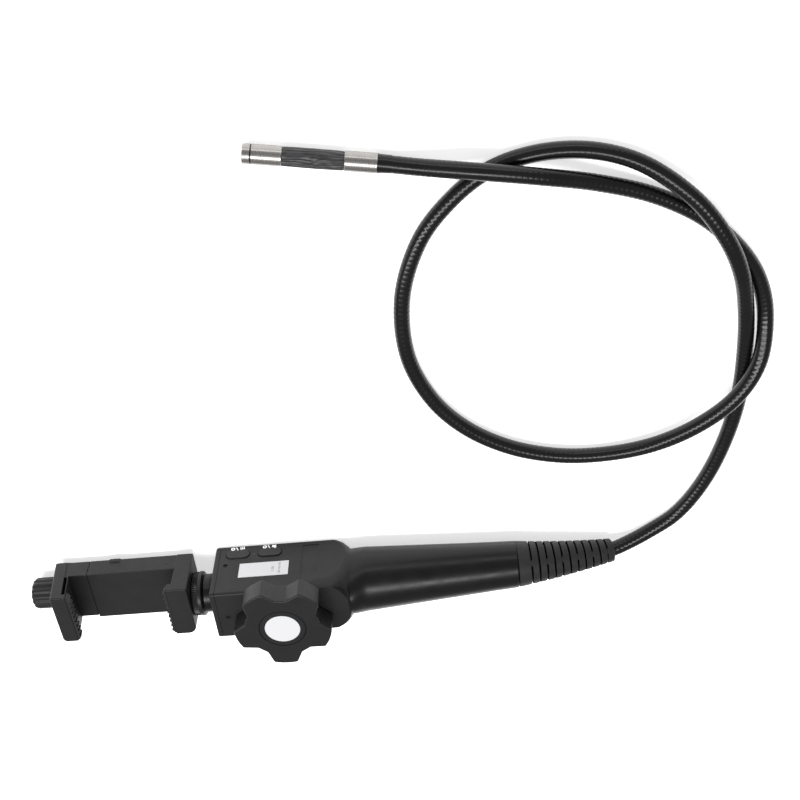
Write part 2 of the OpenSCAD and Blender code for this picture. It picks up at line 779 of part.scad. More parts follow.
module clamp_body() {
    color([0.1, 0.1, 0.11]) difference() {
        union() {
            translate([0, 0, jaw_z]) linear_extrude(jaw_h)
                jaw_plan(jaw_x, jaw_root, jaw_w, [0.8, 4.5], [0, 0]);
            translate([jaw_root - 0.5, -jaw_w / 2, jaw_head])
                cube([jaw_inner - jaw_root + 0.5, jaw_w, jaw_z + jaw_h - jaw_head]);
            translate([jaw_root - 0.5, -bar_w / 2, jaw_z])
                cube([seam_x - jaw_root + 0.5, bar_w, bar_t]);
        }
        rod_x(jaw_x - 1, jaw_root + 1, stud_r + run, 0, axis_z);
        translate([67, -14.5, jaw_z - 1]) cube([43, 29, 2.5]);
        for (y = [-rod_y, rod_y]) rod_x(66, seam_x + 1, rod_r + 0.08, y, bar_z);
        rod_x(66, seam_x + 1, screw_r + 0.4, 0, bar_z);
        translate([nut_x[0], -5, jaw_z - 1]) cube([nut_x[1] - nut_x[0], 10, bar_t - 1]);
    }
}

module clamp_cover() {
    color([0.11, 0.11, 0.12]) difference() {
        translate([67.1, -14.4, jaw_z]) cube([42.8, 28.8, 1.5]);
        for (x = [71, 106], y = [-12.4, 12.4]) translate([x, y, jaw_z - 1]) cylinder(r = 1, h = 4);
    }
}

module cover_screws() {
    color([0.3, 0.3, 0.32])
    for (x = [71, 106], y = [-12.4, 12.4]) translate([x, y, jaw_z - 0.1]) cylinder(r = 1, h = 1.6);
}

module jaw_nut() {
    color([0.75, 0.62, 0.35]) difference() {
        translate([nut_x[0], -5, jaw_z + 1.5]) cube([nut_x[1] - nut_x[0], 10, bar_t - 3.5]);
        rod_x(nut_x[0] - 1, nut_x[1] + 1, screw_r + run, 0, bar_z);
    }
}

// Rubber strip with ribs that stand up along Z; dir is the way it faces
module pad(x, dir) {
    pitch = (jaw_w - 3) / rib_count;
    color([0.08, 0.08, 0.085]) {
        translate([dir > 0 ? x : x - 1.1, -jaw_w / 2 + 1, pad_z[0]])
            cube([1.1, jaw_w - 2, pad_z[1] - pad_z[0]]);
        for (i = [0:rib_count - 1]) translate([x + dir * 1, -jaw_w / 2 + 1.5 + (i + 0.5) * pitch, pad_z[0]])
            cylinder(r = pad_t - 1, h = pad_z[1] - pad_z[0]);
    }
}

module fixed_pad() { pad(jaw_inner, 1); }
module moving_pad() { leaning() pad(slide_x, -1); }

// Leans its children towards the fixed jaw, about the sliding jaw's upper inner edge
module leaning() {
    translate([slide_x, 0, jaw_z + jaw_h]) rotate([0, -jaw_lean, 0])
        translate([-slide_x, 0, -jaw_z - jaw_h]) children();
}

module sliding_jaw() {
    color([0.1, 0.1, 0.11]) difference() {
        union() {
            intersection() {
                leaning() translate([0, 0, jaw_z - 5]) linear_extrude(jaw_h + 10)
                    jaw_plan(slide_x, slide_end, jaw_w, [0, 0], [1.2, 2.5]);
                translate([slide_x - 10, -jaw_w, jaw_z]) cube([30, 2 * jaw_w, jaw_h]);
            }
            translate([seam_x + seam_gap, -bar_w / 2, jaw_z])
                cube([slide_x - seam_x + 4, bar_w - 1.3, bar_t]);
        }
        leaning() translate([slide_x + 0.7, -jaw_w, jaw_z + bar_t + 1]) cube([1.7, jaw_w - 6, 13.6]);
        rod_x(seam_x - 1, slide_foot + 1, screw_r + run, 0, bar_z);
        rod_x(seam_x - 1, clip_x + 1.4, 4.8, 0, bar_z);
        for (y = [-rod_y, rod_y]) rod_x(seam_x - 1, slide_x + 5, rod_r, y, bar_z);
    }
}

module guide_rods() {
    color([0.7, 0.7, 0.72]) for (y = [-rod_y, rod_y]) rod_x(rod_start, slide_x + 5, rod_r, y, bar_z);
}

module lead_screw() {
    color([0.65, 0.65, 0.67]) rod_x(70, adjust_x + 12, screw_r, 0, bar_z);
}

module screw_clip() {
    color([0.5, 0.5, 0.52]) difference() {
        rod_x(clip_x, clip_x + 1, 4.4, 0, bar_z);
        rod_x(clip_x - 1, clip_x + 2, screw_r, 0, bar_z);
    }
}

// Fluted knob with a softened end
module adjusting_knob() {
    flutes = 12;
    r = adjust_d / 2;
    color([0.11, 0.11, 0.12]) difference() {
        union() {
            rod_x(adjust_x, adjust_x + adjust_l - 2, r, 0, bar_z);
            translate([adjust_x + adjust_l - 2, 0, bar_z]) rotate([0, 90, 0])
                cylinder(r1 = r, r2 = r - 2, h = 2);
        }
        for (i = [0:flutes - 1]) translate([0, 0, bar_z]) rotate([i * 360 / flutes, 0, 0])
            translate([adjust_x + 1.5, 0, r + 1.8]) rotate([0, 90, 0]) cylinder(r = 2.2, h = adjust_l);
        rod_x(adjust_x - 1, adjust_x + 12, screw_r, 0, bar_z);
    }
}

handle_body();
base_cover();
base_screws();
end_cap();
end_screws();
name_label();
status_light();
strain_boot();
tube_anchor();
tube_root();
tube();
rear_ferrule();
ferrule_collar();
drum_frame();
lower_bush();
knob_bush();
pull_wires();
signal_lead();
main_board();
wifi_module();
button_switches();
battery();
charge_board();
charge_port();
swivel_stud();
stud_washer();
steering_knob();
knob_cap();
knob_disc();
knob_screw();
knob_shaft();
wire_drum();
drag_washer();
shaft_clip();
photo_button();
power_button();
locking_wheel();
clamp_body();
clamp_cover();
cover_screws();
jaw_nut();
fixed_pad();
sliding_jaw();
moving_pad();
guide_rods();
lead_screw();
adjusting_knob();
screw_clip();
link_1();
link_2();
link_3();
link_4();
sheath_ring_1();
sheath_ring_2();
sheath_ring_3();
sheath_ring_4();
head_barrel();
front_ring();
lens_window();
lamp_board();
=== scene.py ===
import json
from math import asin, atan, atan2, cos, degrees, pi, radians, sin, sqrt, tan

import bpy
from mathutils import Matrix, Vector


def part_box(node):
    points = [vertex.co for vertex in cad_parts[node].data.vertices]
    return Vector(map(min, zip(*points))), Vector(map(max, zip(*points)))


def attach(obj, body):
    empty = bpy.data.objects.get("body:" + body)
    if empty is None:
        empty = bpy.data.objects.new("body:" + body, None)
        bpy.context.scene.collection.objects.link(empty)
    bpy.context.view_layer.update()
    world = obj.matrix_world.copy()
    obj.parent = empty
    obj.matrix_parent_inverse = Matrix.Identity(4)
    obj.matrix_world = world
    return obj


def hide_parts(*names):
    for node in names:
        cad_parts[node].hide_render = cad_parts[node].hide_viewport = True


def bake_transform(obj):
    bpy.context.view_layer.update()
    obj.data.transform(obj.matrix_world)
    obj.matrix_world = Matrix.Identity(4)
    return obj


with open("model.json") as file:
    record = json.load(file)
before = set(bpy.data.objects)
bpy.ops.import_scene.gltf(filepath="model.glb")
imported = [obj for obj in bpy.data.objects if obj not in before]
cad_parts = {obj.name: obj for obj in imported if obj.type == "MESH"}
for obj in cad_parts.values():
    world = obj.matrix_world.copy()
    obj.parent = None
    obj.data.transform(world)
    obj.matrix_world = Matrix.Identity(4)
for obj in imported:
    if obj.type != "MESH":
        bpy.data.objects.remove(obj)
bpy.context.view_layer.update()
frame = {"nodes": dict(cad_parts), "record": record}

# Shapes below are worked out in millimetres and turned into metres as each mesh is made.
MM = 0.001


def corners(node):
    """A CAD node's lowest and highest corners, in millimetres."""
    low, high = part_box(node)
    return low / MM, high / MM


# ---------------- camera, floor and light

CAMERA_AT = Vector((-0.1062, -0.4712, 0.520))
CAMERA_ELEVATION = radians(55)
CAMERA_AZIMUTH = radians(5)
CAMERA_ROLL = radians(180 - 0.47)
CAMERA_LENS = 54.59
CAMERA_SENSOR = 36
WORLD_LIGHT = 0.5
FLOOR_SIZE = 4
FLOOR_AT = (-0.07, -0.12, -0.0002)
FLOOR_GLOW = 0.55


def add_object(name, data):
    """A new object in the scene that holds the data."""
    made = bpy.data.objects.new(name, data)
    bpy.context.scene.collection.objects.link(made)
    return made


def add_camera():
    """The camera stands on the button side and is held upside down, so the clamp is on the left."""
    forward = Vector((
        cos(CAMERA_ELEVATION) * sin(CAMERA_AZIMUTH),
        cos(CAMERA_ELEVATION) * cos(CAMERA_AZIMUTH),
        -sin(CAMERA_ELEVATION),
    ))
    level = Vector((cos(CAMERA_AZIMUTH), -sin(CAMERA_AZIMUTH), 0))
    plumb = level.cross(forward)
    right = level * cos(CAMERA_ROLL) + plumb * sin(CAMERA_ROLL)
    up = -level * sin(CAMERA_ROLL) + plumb * cos(CAMERA_ROLL)
    data = bpy.data.cameras.new("camera")
    data.lens = CAMERA_LENS
    data.sensor_width = CAMERA_SENSOR
    data.clip_start = 0.01
    data.clip_end = 20
    camera = add_object("camera", data)
    turned = Matrix((right, up, -forward)).transposed().to_4x4()
    camera.matrix_world = Matrix.Translation(CAMERA_AT) @ turned
    bpy.context.scene.camera = camera


def add_softbox(name, at, aim, width, length, power):
    """A rectangular light at one point, aimed at another; its length runs along X."""
    data = bpy.data.lights.new(name, "AREA")
    data.shape = "RECTANGLE"
    data.size = length
    data.size_y = width
    data.energy = power
    light = add_object(name, data)
    down = (Vector(aim) - Vector(at)).normalized()
    along = (Vector((1, 0, 0)) - down * down.x).normalized()
    turned = Matrix((along, along.cross(down), -down)).transposed().to_4x4()
    light.matrix_world = Matrix.Translation(at) @ turned


def add_studio():
    """A white floor, even light all round, one long softbox overhead and a weaker one in front."""
    world = bpy.data.worlds.new("studio")
    world.use_nodes = True
    world.node_tree.nodes["Background"].inputs["Color"].default_value = (1, 1, 1, 1)
    world.node_tree.nodes["Background"].inputs["Strength"].default_value = WORLD_LIGHT
    bpy.context.scene.world = world
    bpy.context.scene.view_settings.view_transform = "Standard"
    add_softbox("overhead", (0.25, -0.02, 1.12), (-0.03, -0.06, 0), 0.24, 1.5, 19)
    add_softbox("front", (-0.10, -1.35, 0.30), (-0.10, -0.10, 0), 0.25, 1.3, 3.5)
    bpy.ops.mesh.primitive_plane_add(size=FLOOR_SIZE, location=FLOOR_AT)
    floor = bpy.context.object
    floor.name = "floor"
    floor.data.materials.append(floor_paper())


# ---------------- materials

def start_material(name, metallic=0.0, ior=1.45, gloss=0.5):
    """A new material with a Principled shader, its node tree and that shader."""
    material = bpy.data.materials.new(name)
    material.use_nodes = True
    tree = material.node_tree
    shader = tree.nodes["Principled BSDF"]
    shader.inputs["Metallic"].default_value = metallic
    shader.inputs["IOR"].default_value = ior
    shader.inputs["Specular IOR Level"].default_value = gloss
    return material, tree, shader


def tint(tone, share):
    """A tone made lighter or darker by a share."""
    return tuple(c * share for c in tone)


def connect(tree, shader, colour, roughness, normal=None):
    """Feeds a shader's colour and roughness, and its normal if there is one."""
    tree.links.new(colour, shader.inputs["Base Color"])
    tree.links.new(roughness, shader.inputs["Roughness"])
    if normal is not None:
        tree.links.new(normal, shader.inputs["Normal"])


def object_coordinates(tree, stretch=(1, 1, 1), turn=(0, 0, 0)):
    """The piece's own coordinates in metres, turned and then stretched."""
    where = tree.nodes.new("ShaderNodeTexCoord").outputs["Object"]
    for setting, value in (("Rotation", turn), ("Scale", stretch)):
        mapping = tree.nodes.new("ShaderNodeMapping")
        mapping.inputs[setting].default_value = value
        tree.links.new(where, mapping.inputs["Vector"])
        where = mapping.outputs["Vector"]
    return where


def noise(tree, where, grain_mm, detail=4.0, roughness=0.55):
    """Noise whose blobs are about grain_mm across."""
    node = tree.nodes.new("ShaderNodeTexNoise")
    node.inputs["Scale"].default_value = 1 / (grain_mm * MM)
    node.inputs["Detail"].default_value = detail
    node.inputs["Roughness"].default_value = roughness
    tree.links.new(where, node.inputs["Vector"])
    return node.outputs["Fac"]


def spread(tree, value, low, high, low_in=0.3, high_in=0.7):
    """A value between low_in and high_in carried over to the range from low to high."""
    node = tree.nodes.new("ShaderNodeMapRange")
    node.inputs["From Min"].default_value = low_in
    node.inputs["From Max"].default_value = high_in
    node.inputs["To Min"].default_value = low
    node.inputs["To Max"].default_value = high
    tree.links.new(value, node.inputs["Value"])
    return node.outputs["Result"]


def two_tone(tree, value, dark, light, low_in=0.3, high_in=0.7):
    """Two colours mixed by a value."""
    node = tree.nodes.new("ShaderNodeValToRGB")
    node.color_ramp.elements[0].position = low_in
    node.color_ramp.elements[1].position = high_in
    node.color_ramp.elements[0].color = (*dark, 1)
    node.color_ramp.elements[1].color = (*light, 1)
    tree.links.new(value, node.inputs["Fac"])
    return node.outputs["Color"]


def relief(tree, height, depth_mm, strength=1.0, under=None):
    """A bump of that depth, over an earlier one if it is given."""
    node = tree.nodes.new("ShaderNodeBump")
    node.inputs["Strength"].default_value = strength
    node.inputs["Distance"].default_value = depth_mm * MM
    tree.links.new(height, node.inputs["Height"])
    if under is not None:
        tree.links.new(under, node.inputs["Normal"])
    return node.outputs["Normal"]


def moulded(name, tone, rough, grain_mm, depth_mm, cloud=0.12, sheen=0.0, gloss=0.38):
    """Moulded plastic or rubber: spark-eroded grain, faint clouding, and uneven gloss from handling."""
    material, tree, shader = start_material(name, gloss=gloss)
    where = object_coordinates(tree)
    clouds = noise(tree, where, 18, 3)
    grain = noise(tree, where, grain_mm, 2, 0.6)
    colour = two_tone(tree, clouds, tint(tone, 1 - cloud), tint(tone, 1 + cloud))
    handled = spread(tree, noise(tree, where, 7, 5), rough - 0.05, rough + 0.05)
    connect(tree, shader, colour, handled, relief(tree, grain, depth_mm))
    if sheen:
        shader.inputs["Sheen Weight"].default_value = sheen
        shader.inputs["Sheen Roughness"].default_value = 0.5
    return material


def turned_metal(name, tone, rough, axis_turn=(0, 0, 0), metallic=1.0, lines_mm=0.22,
                 depth_mm=0.004):
    """Metal turned on a lathe: fine rings round its own X axis, with a few soft stains."""
    material, tree, shader = start_material(name, metallic)
    rings_at = object_coordinates(tree, (1, 0.02, 0.02), axis_turn)
    rings = noise(tree, rings_at, lines_mm, 3, 0.7)
    stains = noise(tree, object_coordinates(tree), 5, 4)
    connect(tree, shader, two_tone(tree, stains, tint(tone, 0.9), tone),
            spread(tree, rings, rough - 0.05, rough + 0.07), relief(tree, rings, depth_mm))
    return material


def glossy_sheath(name, tone, rough):
    """The tube's sheath: dark gloss, faint dust and slightly uneven shine."""
    material, tree, shader = start_material(name, ior=1.5, gloss=0.26)
    where = object_coordinates(tree)
    dust = noise(tree, where, 1.2, 6, 0.7)
    connect(tree, shader, two_tone(tree, dust, tone, tint(tone, 1.6), 0.45, 0.8),
            spread(tree, noise(tree, where, 9, 4), rough - 0.04, rough + 0.05),
            relief(tree, noise(tree, where, 0.9, 3), 0.006))
    return material


def pleated_rubber(name, tone, rough):
    """The bending sleeve: thin rubber drawn over a braid, with creases that run along the tip; painted
    shade darkens their hollows and a painted highlight lightens their crests.
    """
    material, tree, shader = start_material(name)
    along = object_coordinates(tree, (0.12, 1, 1), (0, 0, radians(-TIP_TURN)))
    creases = noise(tree, along, 0.55, 4, 0.6)
    # The colour follows the creases: painted shade in their hollows and painted highlight on their
    # crests.
    connect(tree, shader, two_tone(tree, creases, tint(tone, 0.6), tint(tone, 1.5)),
            spread(tree, creases, rough - 0.08, rough + 0.1), relief(tree, creases, 0.09))
    return material


def printed_white(name, tone, rough):
    """White print or label stock: almost smooth, with a faint fibre."""
    material, tree, shader = start_material(name)
    where = object_coordinates(tree)
    fibre = noise(tree, where, 0.35, 5)
    connect(tree, shader, two_tone(tree, fibre, tint(tone, 0.96), tone),
            spread(tree, noise(tree, where, 4, 3), rough - 0.05, rough + 0.05),
            relief(tree, fibre, 0.003))
    return material


def circuit_board(name, tone):
    """Solder resist with paler tracks in two directions."""
    material, tree, shader = start_material(name)
    where = object_coordinates(tree)
    bricks = tree.nodes.new("ShaderNodeTexBrick")
    bricks.inputs["Scale"].default_value = 260
    bricks.inputs["Mortar Size"].default_value = 0.012
    bricks.inputs["Color1"].default_value = (*tone, 1)
    bricks.inputs["Color2"].default_value = (*tint(tone, 0.8), 1)
    bricks.inputs["Mortar"].default_value = (*tint(tone, 2.2), 1)
    tree.links.new(where, bricks.inputs["Vector"])
    tracks = bricks.outputs["Fac"]
    connect(tree, shader, bricks.outputs["Color"], spread(tree, tracks, 0.35, 0.5, 0, 1),
            relief(tree, tracks, 0.03))
    return material


def clear_glass(name, tone):
    """A clear window with a faint coating."""
    material, tree, shader = start_material(name, ior=1.52)
    shader.inputs["Transmission Weight"].default_value = 1.0
    where = object_coordinates(tree)
    connect(tree, shader, two_tone(tree, noise(tree, where, 2, 2), tint(tone, 0.95), tone),
            spread(tree, noise(tree, where, 3, 3), 0.01, 0.05))
    return material


def floor_paper():
    """White studio paper."""
    material, tree, shader = start_material("floor_paper")
    where = object_coordinates(tree)
    dull, bright = (0.93, 0.93, 0.93), (0.95, 0.95, 0.95)
    connect(tree, shader, two_tone(tree, noise(tree, where, 60, 3), dull, bright),
            spread(tree, noise(tree, where, 30, 3), 0.85, 0.95))
    shader.inputs["Emission Color"].default_value = (1, 1, 1, 1)
    shader.inputs["Emission Strength"].default_value = FLOOR_GLOW
    return material


# ---------------- shapes

TURN_TO_X = Matrix.Rotation(radians(90), 4, "Y")
TURN_TO_BUTTONS = Matrix.Rotation(radians(90), 4, "X")
ORIGIN = Matrix.Identity(4)


def along_x(x, y, z):
    """A place whose own +Z points along +X."""
    return Matrix.Translation((x, y, z)) @ TURN_TO_X


def out_of_buttons(x, y, z):
    """A place on the button face: its own X and Y are the part's X and Z, and its +Z points out."""
    return Matrix.Translation((x, y, z)) @ TURN_TO_BUTTONS


def upright(x, y, z):
    """A place whose own axes are the part's."""
    return Matrix.Translation((x, y, z))


# The swivel stud's axis, the lead screw's, and one for each guide rod
SWIVEL = along_x(0, 0, 19.5)
SCREW = along_x(0, 0, 9.75)
GUIDES = [along_x(0, y, 9.75) for y in (10, -10)]


def across(heading):
    """The level direction square to a heading, and the direction square to both."""
    side = heading.cross(Vector((0, 0, 1))).normalized()
    return side, side.cross(heading)


def without_repeats(outline):
    """The outline without points that lie on the one before."""
    return [p for i, p in enumerate(outline) if (p - outline[i - 1]).length > 1e-4]


def rounded(turns, steps=6):
    """An outline through (x, y, radius) turns, each taken by an arc of its radius."""
    points = []
    count = len(turns)
    for i, (x, y, radius) in enumerate(turns):
        here = Vector((x, y))
        back = (Vector(turns[i - 1][:2]) - here).normalized()
        ahead = (Vector(turns[(i + 1) % count][:2]) - here).normalized()
        half = back.angle(ahead) / 2
        if radius <= 0 or half > 1.55:
            points.append(here)
            continue
        centre = here + (back + ahead).normalized() * radius / sin(half)
        start = here + back * radius / tan(half) - centre
        finish = here + ahead * radius / tan(half) - centre
        first = atan2(start.y, start.x)
        sweep = (atan2(finish.y, finish.x) - first + pi) % (2 * pi) - pi
        for k in range(steps + 1):
            angle = first + sweep * k / steps
            points.append(centre + radius * Vector((cos(angle), sin(angle))))
    return without_repeats(points)


def rectangle(x0, y0, x1, y1, radius, steps=6):
    """A rectangle with rounded corners, anticlockwise."""
    return rounded([(x0, y0, radius), (x1, y0, radius), (x1, y1, radius), (x0, y1, radius)], steps)


def circle(radius, sides=64):
    """A circle, anticlockwise."""
    angles = [2 * pi * k / sides for k in range(sides)]
    return [Vector((radius * cos(a), radius * sin(a))) for a in angles]


def inset(outline, distance):
    """An anticlockwise outline moved inwards by a distance."""
    moved = []
    count = len(outline)
    for i in range(count):
        before = (outline[i] - outline[i - 1]).normalized()
        after = (outline[(i + 1) % count] - outline[i]).normalized()
        inwards = Vector((-before.y - after.y, before.x + after.x)).normalized()
        share = max(0.35, inwards.dot(Vector((-before.y, before.x))))
        moved.append(outline[i] + inwards * distance / share)
    return moved


def ring(outline, height):
    """An outline at a height."""
    return [Vector((p.x, p.y, height)) for p in outline]


def stack(outline, levels):
    """Rings of one outline at (height, inset) levels."""
    return [ring(inset(outline, d) if d else outline, h) for h, d in levels]


def soft_ends(low, high, low_round, high_round, steps=4):
    """Levels of a prism from low to high whose end edges are rounded by those radii."""
    arc = [pi / 2 * k / steps for k in range(steps + 1)]
    first = [(low + low_round * (1 - cos(a)), low_round * (1 - sin(a))) for a in arc]
    last = [(high - high_round * (1 - sin(a)), high_round * (1 - cos(a))) for a in arc]
    return (first if low_round else [(low, 0)]) + (last if high_round else [(high, 0)])


def lathe(profile, sides=72):
    """Rings round the local Z axis from (height, radius) pairs."""
    return [ring(circle(radius, sides), height) for height, radius in profile]


def solid(rings, place, hollow=False):
    """A closed mesh through rings that run anticlockwise as seen from the far end.

    A hollow one comes back along its inside and ends where it started.
    """
    verts = [place @ p * MM for r in rings for p in r]
    n = len(rings[0])
    spans = len(rings) if hollow else len(rings) - 1
    faces = []
    for i in range(spans):
        a, b = i * n, (i + 1) % len(rings) * n
        faces += [(a + k, a + (k + 1) % n, b + (k + 1) % n, b + k) for k in range(n)]
    if not hollow:
        faces.append(tuple(range(n - 1, -1, -1)))
        faces.append(tuple((len(rings) - 1) * n + k for k in range(n)))
    mesh = bpy.data.meshes.new("shape")
    mesh.from_pydata(verts, [], faces)
    mesh.update()
    return add_object("shape", mesh)


def block(x0, y0, z0, x1, y1, z1, radius=0.4, place=ORIGIN):
    """A box from one corner to the other with all its edges rounded."""
    outline = rectangle(x0, y0, x1, y1, radius, 4)
    end = radius * 0.9
    return solid(stack(outline, soft_ends(z0, z1, end, end, 3)), place)


def rod(place, radius, low, high, sides=32):
    """A plain round rod, used to drill holes."""
    return solid(lathe([(low, radius), (high, radius)], sides), place)


def combine(base, others, how):
    """A solid with others cut away (DIFFERENCE) or joined on (UNION). The others are used up."""
    for other in others:
        modifier = base.modifiers.new("with", "BOOLEAN")
        modifier.operation = how
        modifier.solver = "MANIFOLD"
        modifier.object = other
    bpy.context.view_layer.update()
    result = base.evaluated_get(bpy.context.evaluated_depsgraph_get())
    mesh = bpy.data.meshes.new_from_object(result)
    base.modifiers.clear()
    base.data = mesh
    for other in others:
        bpy.data.objects.remove(other)
    return base


def cut(base, *others):
    """A solid with the others cut out of it."""
    return combine(base, others, "DIFFERENCE")


def join(base, *others):
    """A solid with the others joined on."""
    return combine(base, others, "UNION")


def dress(piece, name, body, material, stands_for=(), sharp=34, ride=True):
    """Names a finished mesh, shades it, gives it its material and lets it ride on its body."""
    piece.name = name
    piece.data.name = name
    piece.data.materials.clear()
    piece.data.materials.append(material)
    piece.data.shade_smooth()
    piece.data.set_sharp_from_angle(angle=radians(sharp))
    weighted = piece.modifiers.new("weighted", "WEIGHTED_NORMAL")
    weighted.keep_sharp = True
    weighted.weight = 60
    if ride:
        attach(piece, body)
    if stands_for:
        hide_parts(*stands_for)
    return piece


def second_material(piece, material, wanted):
    """Gives a second material to the faces whose centre, in millimetres, and normal fit a test."""
    piece.data.materials.append(material)
    for face in piece.data.polygons:
        face.material_index = int(wanted(face.center / MM, face.normal))


# ---------------- the probe's tube

TUBE_D = 8.2
# The tube's centre line in metres, from inside the boot to inside the collar
ROUTE = [
    (-0.178, 0, 0.00935), (-0.1845, -0.0003, 0.0082), (-0.193, -0.003, 0.0067),
    (-0.205, -0.009, 0.0052), (-0.219, -0.019, 0.0044), (-0.23, -0.034, 0.0044),
    (-0.239, -0.053, 0.0044), (-0.246, -0.076, 0.0044), (-0.25, -0.099, 0.0044),
    (-0.251, -0.126, 0.0044), (-0.249, -0.152, 0.0075), (-0.244, -0.1755, 0.0124),
    (-0.235, -0.196, 0.0133), (-0.2205, -0.2155, 0.011), (-0.199, -0.232, 0.0064),
    (-0.176, -0.2405, 0.0044), (-0.151, -0.242, 0.0044), (-0.128, -0.236, 0.0044),
    (-0.1085, -0.222, 0.0044), (-0.092, -0.2015, 0.0044), (-0.0815, -0.172, 0.0044),
    (-0.081, -0.139, 0.0044), (-0.091, -0.111, 0.0044), (-0.108, -0.09, 0.0044),
    (-0.131, -0.075, 0.0044), (-0.157, -0.067, 0.0044), (-0.183, -0.066, 0.0046),
    (-0.207, -0.072, 0.007), (-0.228, -0.086, 0.012), (-0.246, -0.103, 0.0135),
    (-0.257, -0.1225, 0.0108), (-0.25934, -0.1465, 0.0056), (-0.2545, -0.167, 0.0044),
    (-0.2435, -0.185, 0.0044), (-0.226, -0.2025, 0.0044), (-0.203, -0.216, 0.0048),
    (-0.177, -0.226, 0.0078), (-0.15, -0.234, 0.0128), (-0.122, -0.2395, 0.0135),
    (-0.098, -0.2412, 0.0078), (-0.085, -0.2426, 0.0051), (-0.075, -0.2443, 0.0047),
]
COIL_PITCH = 2.6
COIL_DEPTH = 0.085
TUBE_STEP = 0.325
TUBE_SIDES = 28
SUBSTEPS = 40


def on_curve(points, i, t):
    """The point at share t of span i on the smooth curve through the points."""
    last = len(points) - 1
    p0, p1, p2, p3 = (Vector(points[max(0, min(last, i + k))]) for k in (-1, 0, 1, 2))
    return 0.5 * (2 * p1 + (p2 - p0) * t + (2 * p0 - 5 * p1 + 4 * p2 - p3) * t ** 2
                  + (3 * p1 - p0 - 3 * p2 + p3) * t ** 3)


def even_path(points, step):
    """Points a step apart, in millimetres, along the smooth curve."""
    fine = [on_curve(points, i, k / SUBSTEPS) / MM
            for i in range(len(points) - 1) for k in range(SUBSTEPS)]
    fine.append(Vector(points[-1]) / MM)
    path, left = [fine[0]], step
    for a, b in zip(fine, fine[1:]):
        span = (b - a).length
        while span >= left:
            a = a + (b - a) * (left / span)
            path.append(a)
            span = (b - a).length
            left = step
        left -= span
    path.append(fine[-1])
    return path


def add_tube(material):
    """The glossy sheath over a steel coil: a fine helical ripple comes and goes along it."""
    path = even_path(ROUTE, TUBE_STEP)
    rings = []
    for i, centre in enumerate(path):
        heading = (path[min(i + 1, len(path) - 1)] - path[max(i - 1, 0)]).normalized()
        side, up = across(heading)
        turns = i * TUBE_STEP / COIL_PITCH
        fade = 0.7 + 0.3 * sin(i * 0.014) * sin(i * 0.0038 + 1)
        loop = []
        for k in range(TUBE_SIDES):
            a = 2 * pi * k / TUBE_SIDES
            ripple = COIL_DEPTH * (0.5 - 0.5 * cos(2 * pi * turns - a)) ** 2.5 * fade
            loop.append(centre + (TUBE_D / 2 - ripple) * (cos(a) * side - sin(a) * up))
        rings.append(loop)
    tube = dress(solid(rings, ORIGIN), "probe_tube", "handle", material, ["tube"])
    return tube, [p * MM for p in path]


# ---------------- the steel tip

TIP_AT = (-62, -246.6, 4.7)
TIP_TURN = -10
FERRULE_L = 15
BEND_L = 28.5
HEAD_L = 18
RING_L = 3.6
HEAD_R = 4.7
HINGE_PITCH = 5.7
PLEATS = 15
SLEEVE_R = 4.44
SLEEVE_BORE_R = 4.02


def on_tip(x=0.0):
    """A place on the tip's own axis, x in front of the rear ferrule; +Z points at what it looks at."""
    turned = Matrix.Rotation(radians(TIP_TURN), 4, "Z")
    return Matrix.Translation(TIP_AT) @ turned @ along_x(x, 0, 0)


def add_ferrules(steel, sheath):
    """The collar that grips the tube's end and the steel ferrule in front of it."""
    tube_r = TUBE_D / 2
    collar = solid(lathe([
        (-6.6, tube_r - 0.04), (-6.6, tube_r + 0.10), (-5.4, tube_r + 0.16), (-3.0, tube_r + 0.22),
        (-1.2, HEAD_R - 0.28), (-0.1, HEAD_R - 0.1), (-0.1, tube_r - 0.04),
    ]), on_tip(-FERRULE_L), hollow=True)
    collar = dress(collar, "ferrule_collar_skin", "handle", sheath,
                   ["ferrule_collar"], 50)
    ferrule = solid(lathe([
        (0, tube_r - 0.04), (0, HEAD_R - 0.15), (0.15, HEAD_R), (1.0, HEAD_R), (1.06, HEAD_R - 0.05),
        (1.18, HEAD_R - 0.05), (1.24, HEAD_R), (FERRULE_L - 0.2, HEAD_R), (FERRULE_L, HEAD_R - 0.2),
        (FERRULE_L, 4.2), (3, 4.2), (3, tube_r - 0.04),
    ]), on_tip(-FERRULE_L), hollow=True)
    ferrule = dress(ferrule, "rear_ferrule_shell", "handle", steel, ["rear_ferrule"], 30)
    return [collar, ferrule]


def sleeve_radius(x, angle):
    """The pleated sleeve's radius: soft folds that wander along it and draw in at its ends."""
    share = x / BEND_L
    wander = 0.35 * sin(share * 5.1 + 2 * angle) + 0.25 * sin(share * 9.7 + 3 * angle + 1)
    folds = 0.5 + 0.5 * cos(PLEATS * angle + wander * 3.2)
    small = sin(31 * angle + share * 8 + 2 * sin(share * 14))
    gather = min(1.0, x / 1.1, (BEND_L - x) / 1.1)
    belly = SLEEVE_R + 0.13 * sin(pi * share) ** 0.5
    return belly - 0.24 * folds ** 1.6 + 0.03 * small - 0.16 * (1 - gather)


def add_sleeve(material):
    """Five stretches of sleeve, one hinge pitch each, baked in place and carried by no body."""
    sides, rows, made = 150, 19, []
    for k in range(5):
        outside = []
        for j in range(rows):
            x = HINGE_PITCH * (k + j / (rows - 1))
            radii = [(sleeve_radius(x, a), a) for a in (2 * pi * i / sides for i in range(sides))]
            outside.append([Vector((r * cos(a), r * sin(a), x)) for r, a in radii])
        inside = [ring(circle(SLEEVE_BORE_R, sides), HINGE_PITCH * (k + s)) for s in (1, 0.66, 0.33, 0)]
        piece = solid(outside + inside, on_tip(), hollow=True)
        stands_for = [f"sheath_ring_{k + 1}"] if k < 4 else []
        piece = dress(piece, f"bending_sleeve_{k + 1}", None, material, stands_for,
                      60, ride=False)
        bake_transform(piece)
        made.append(piece)
    return made


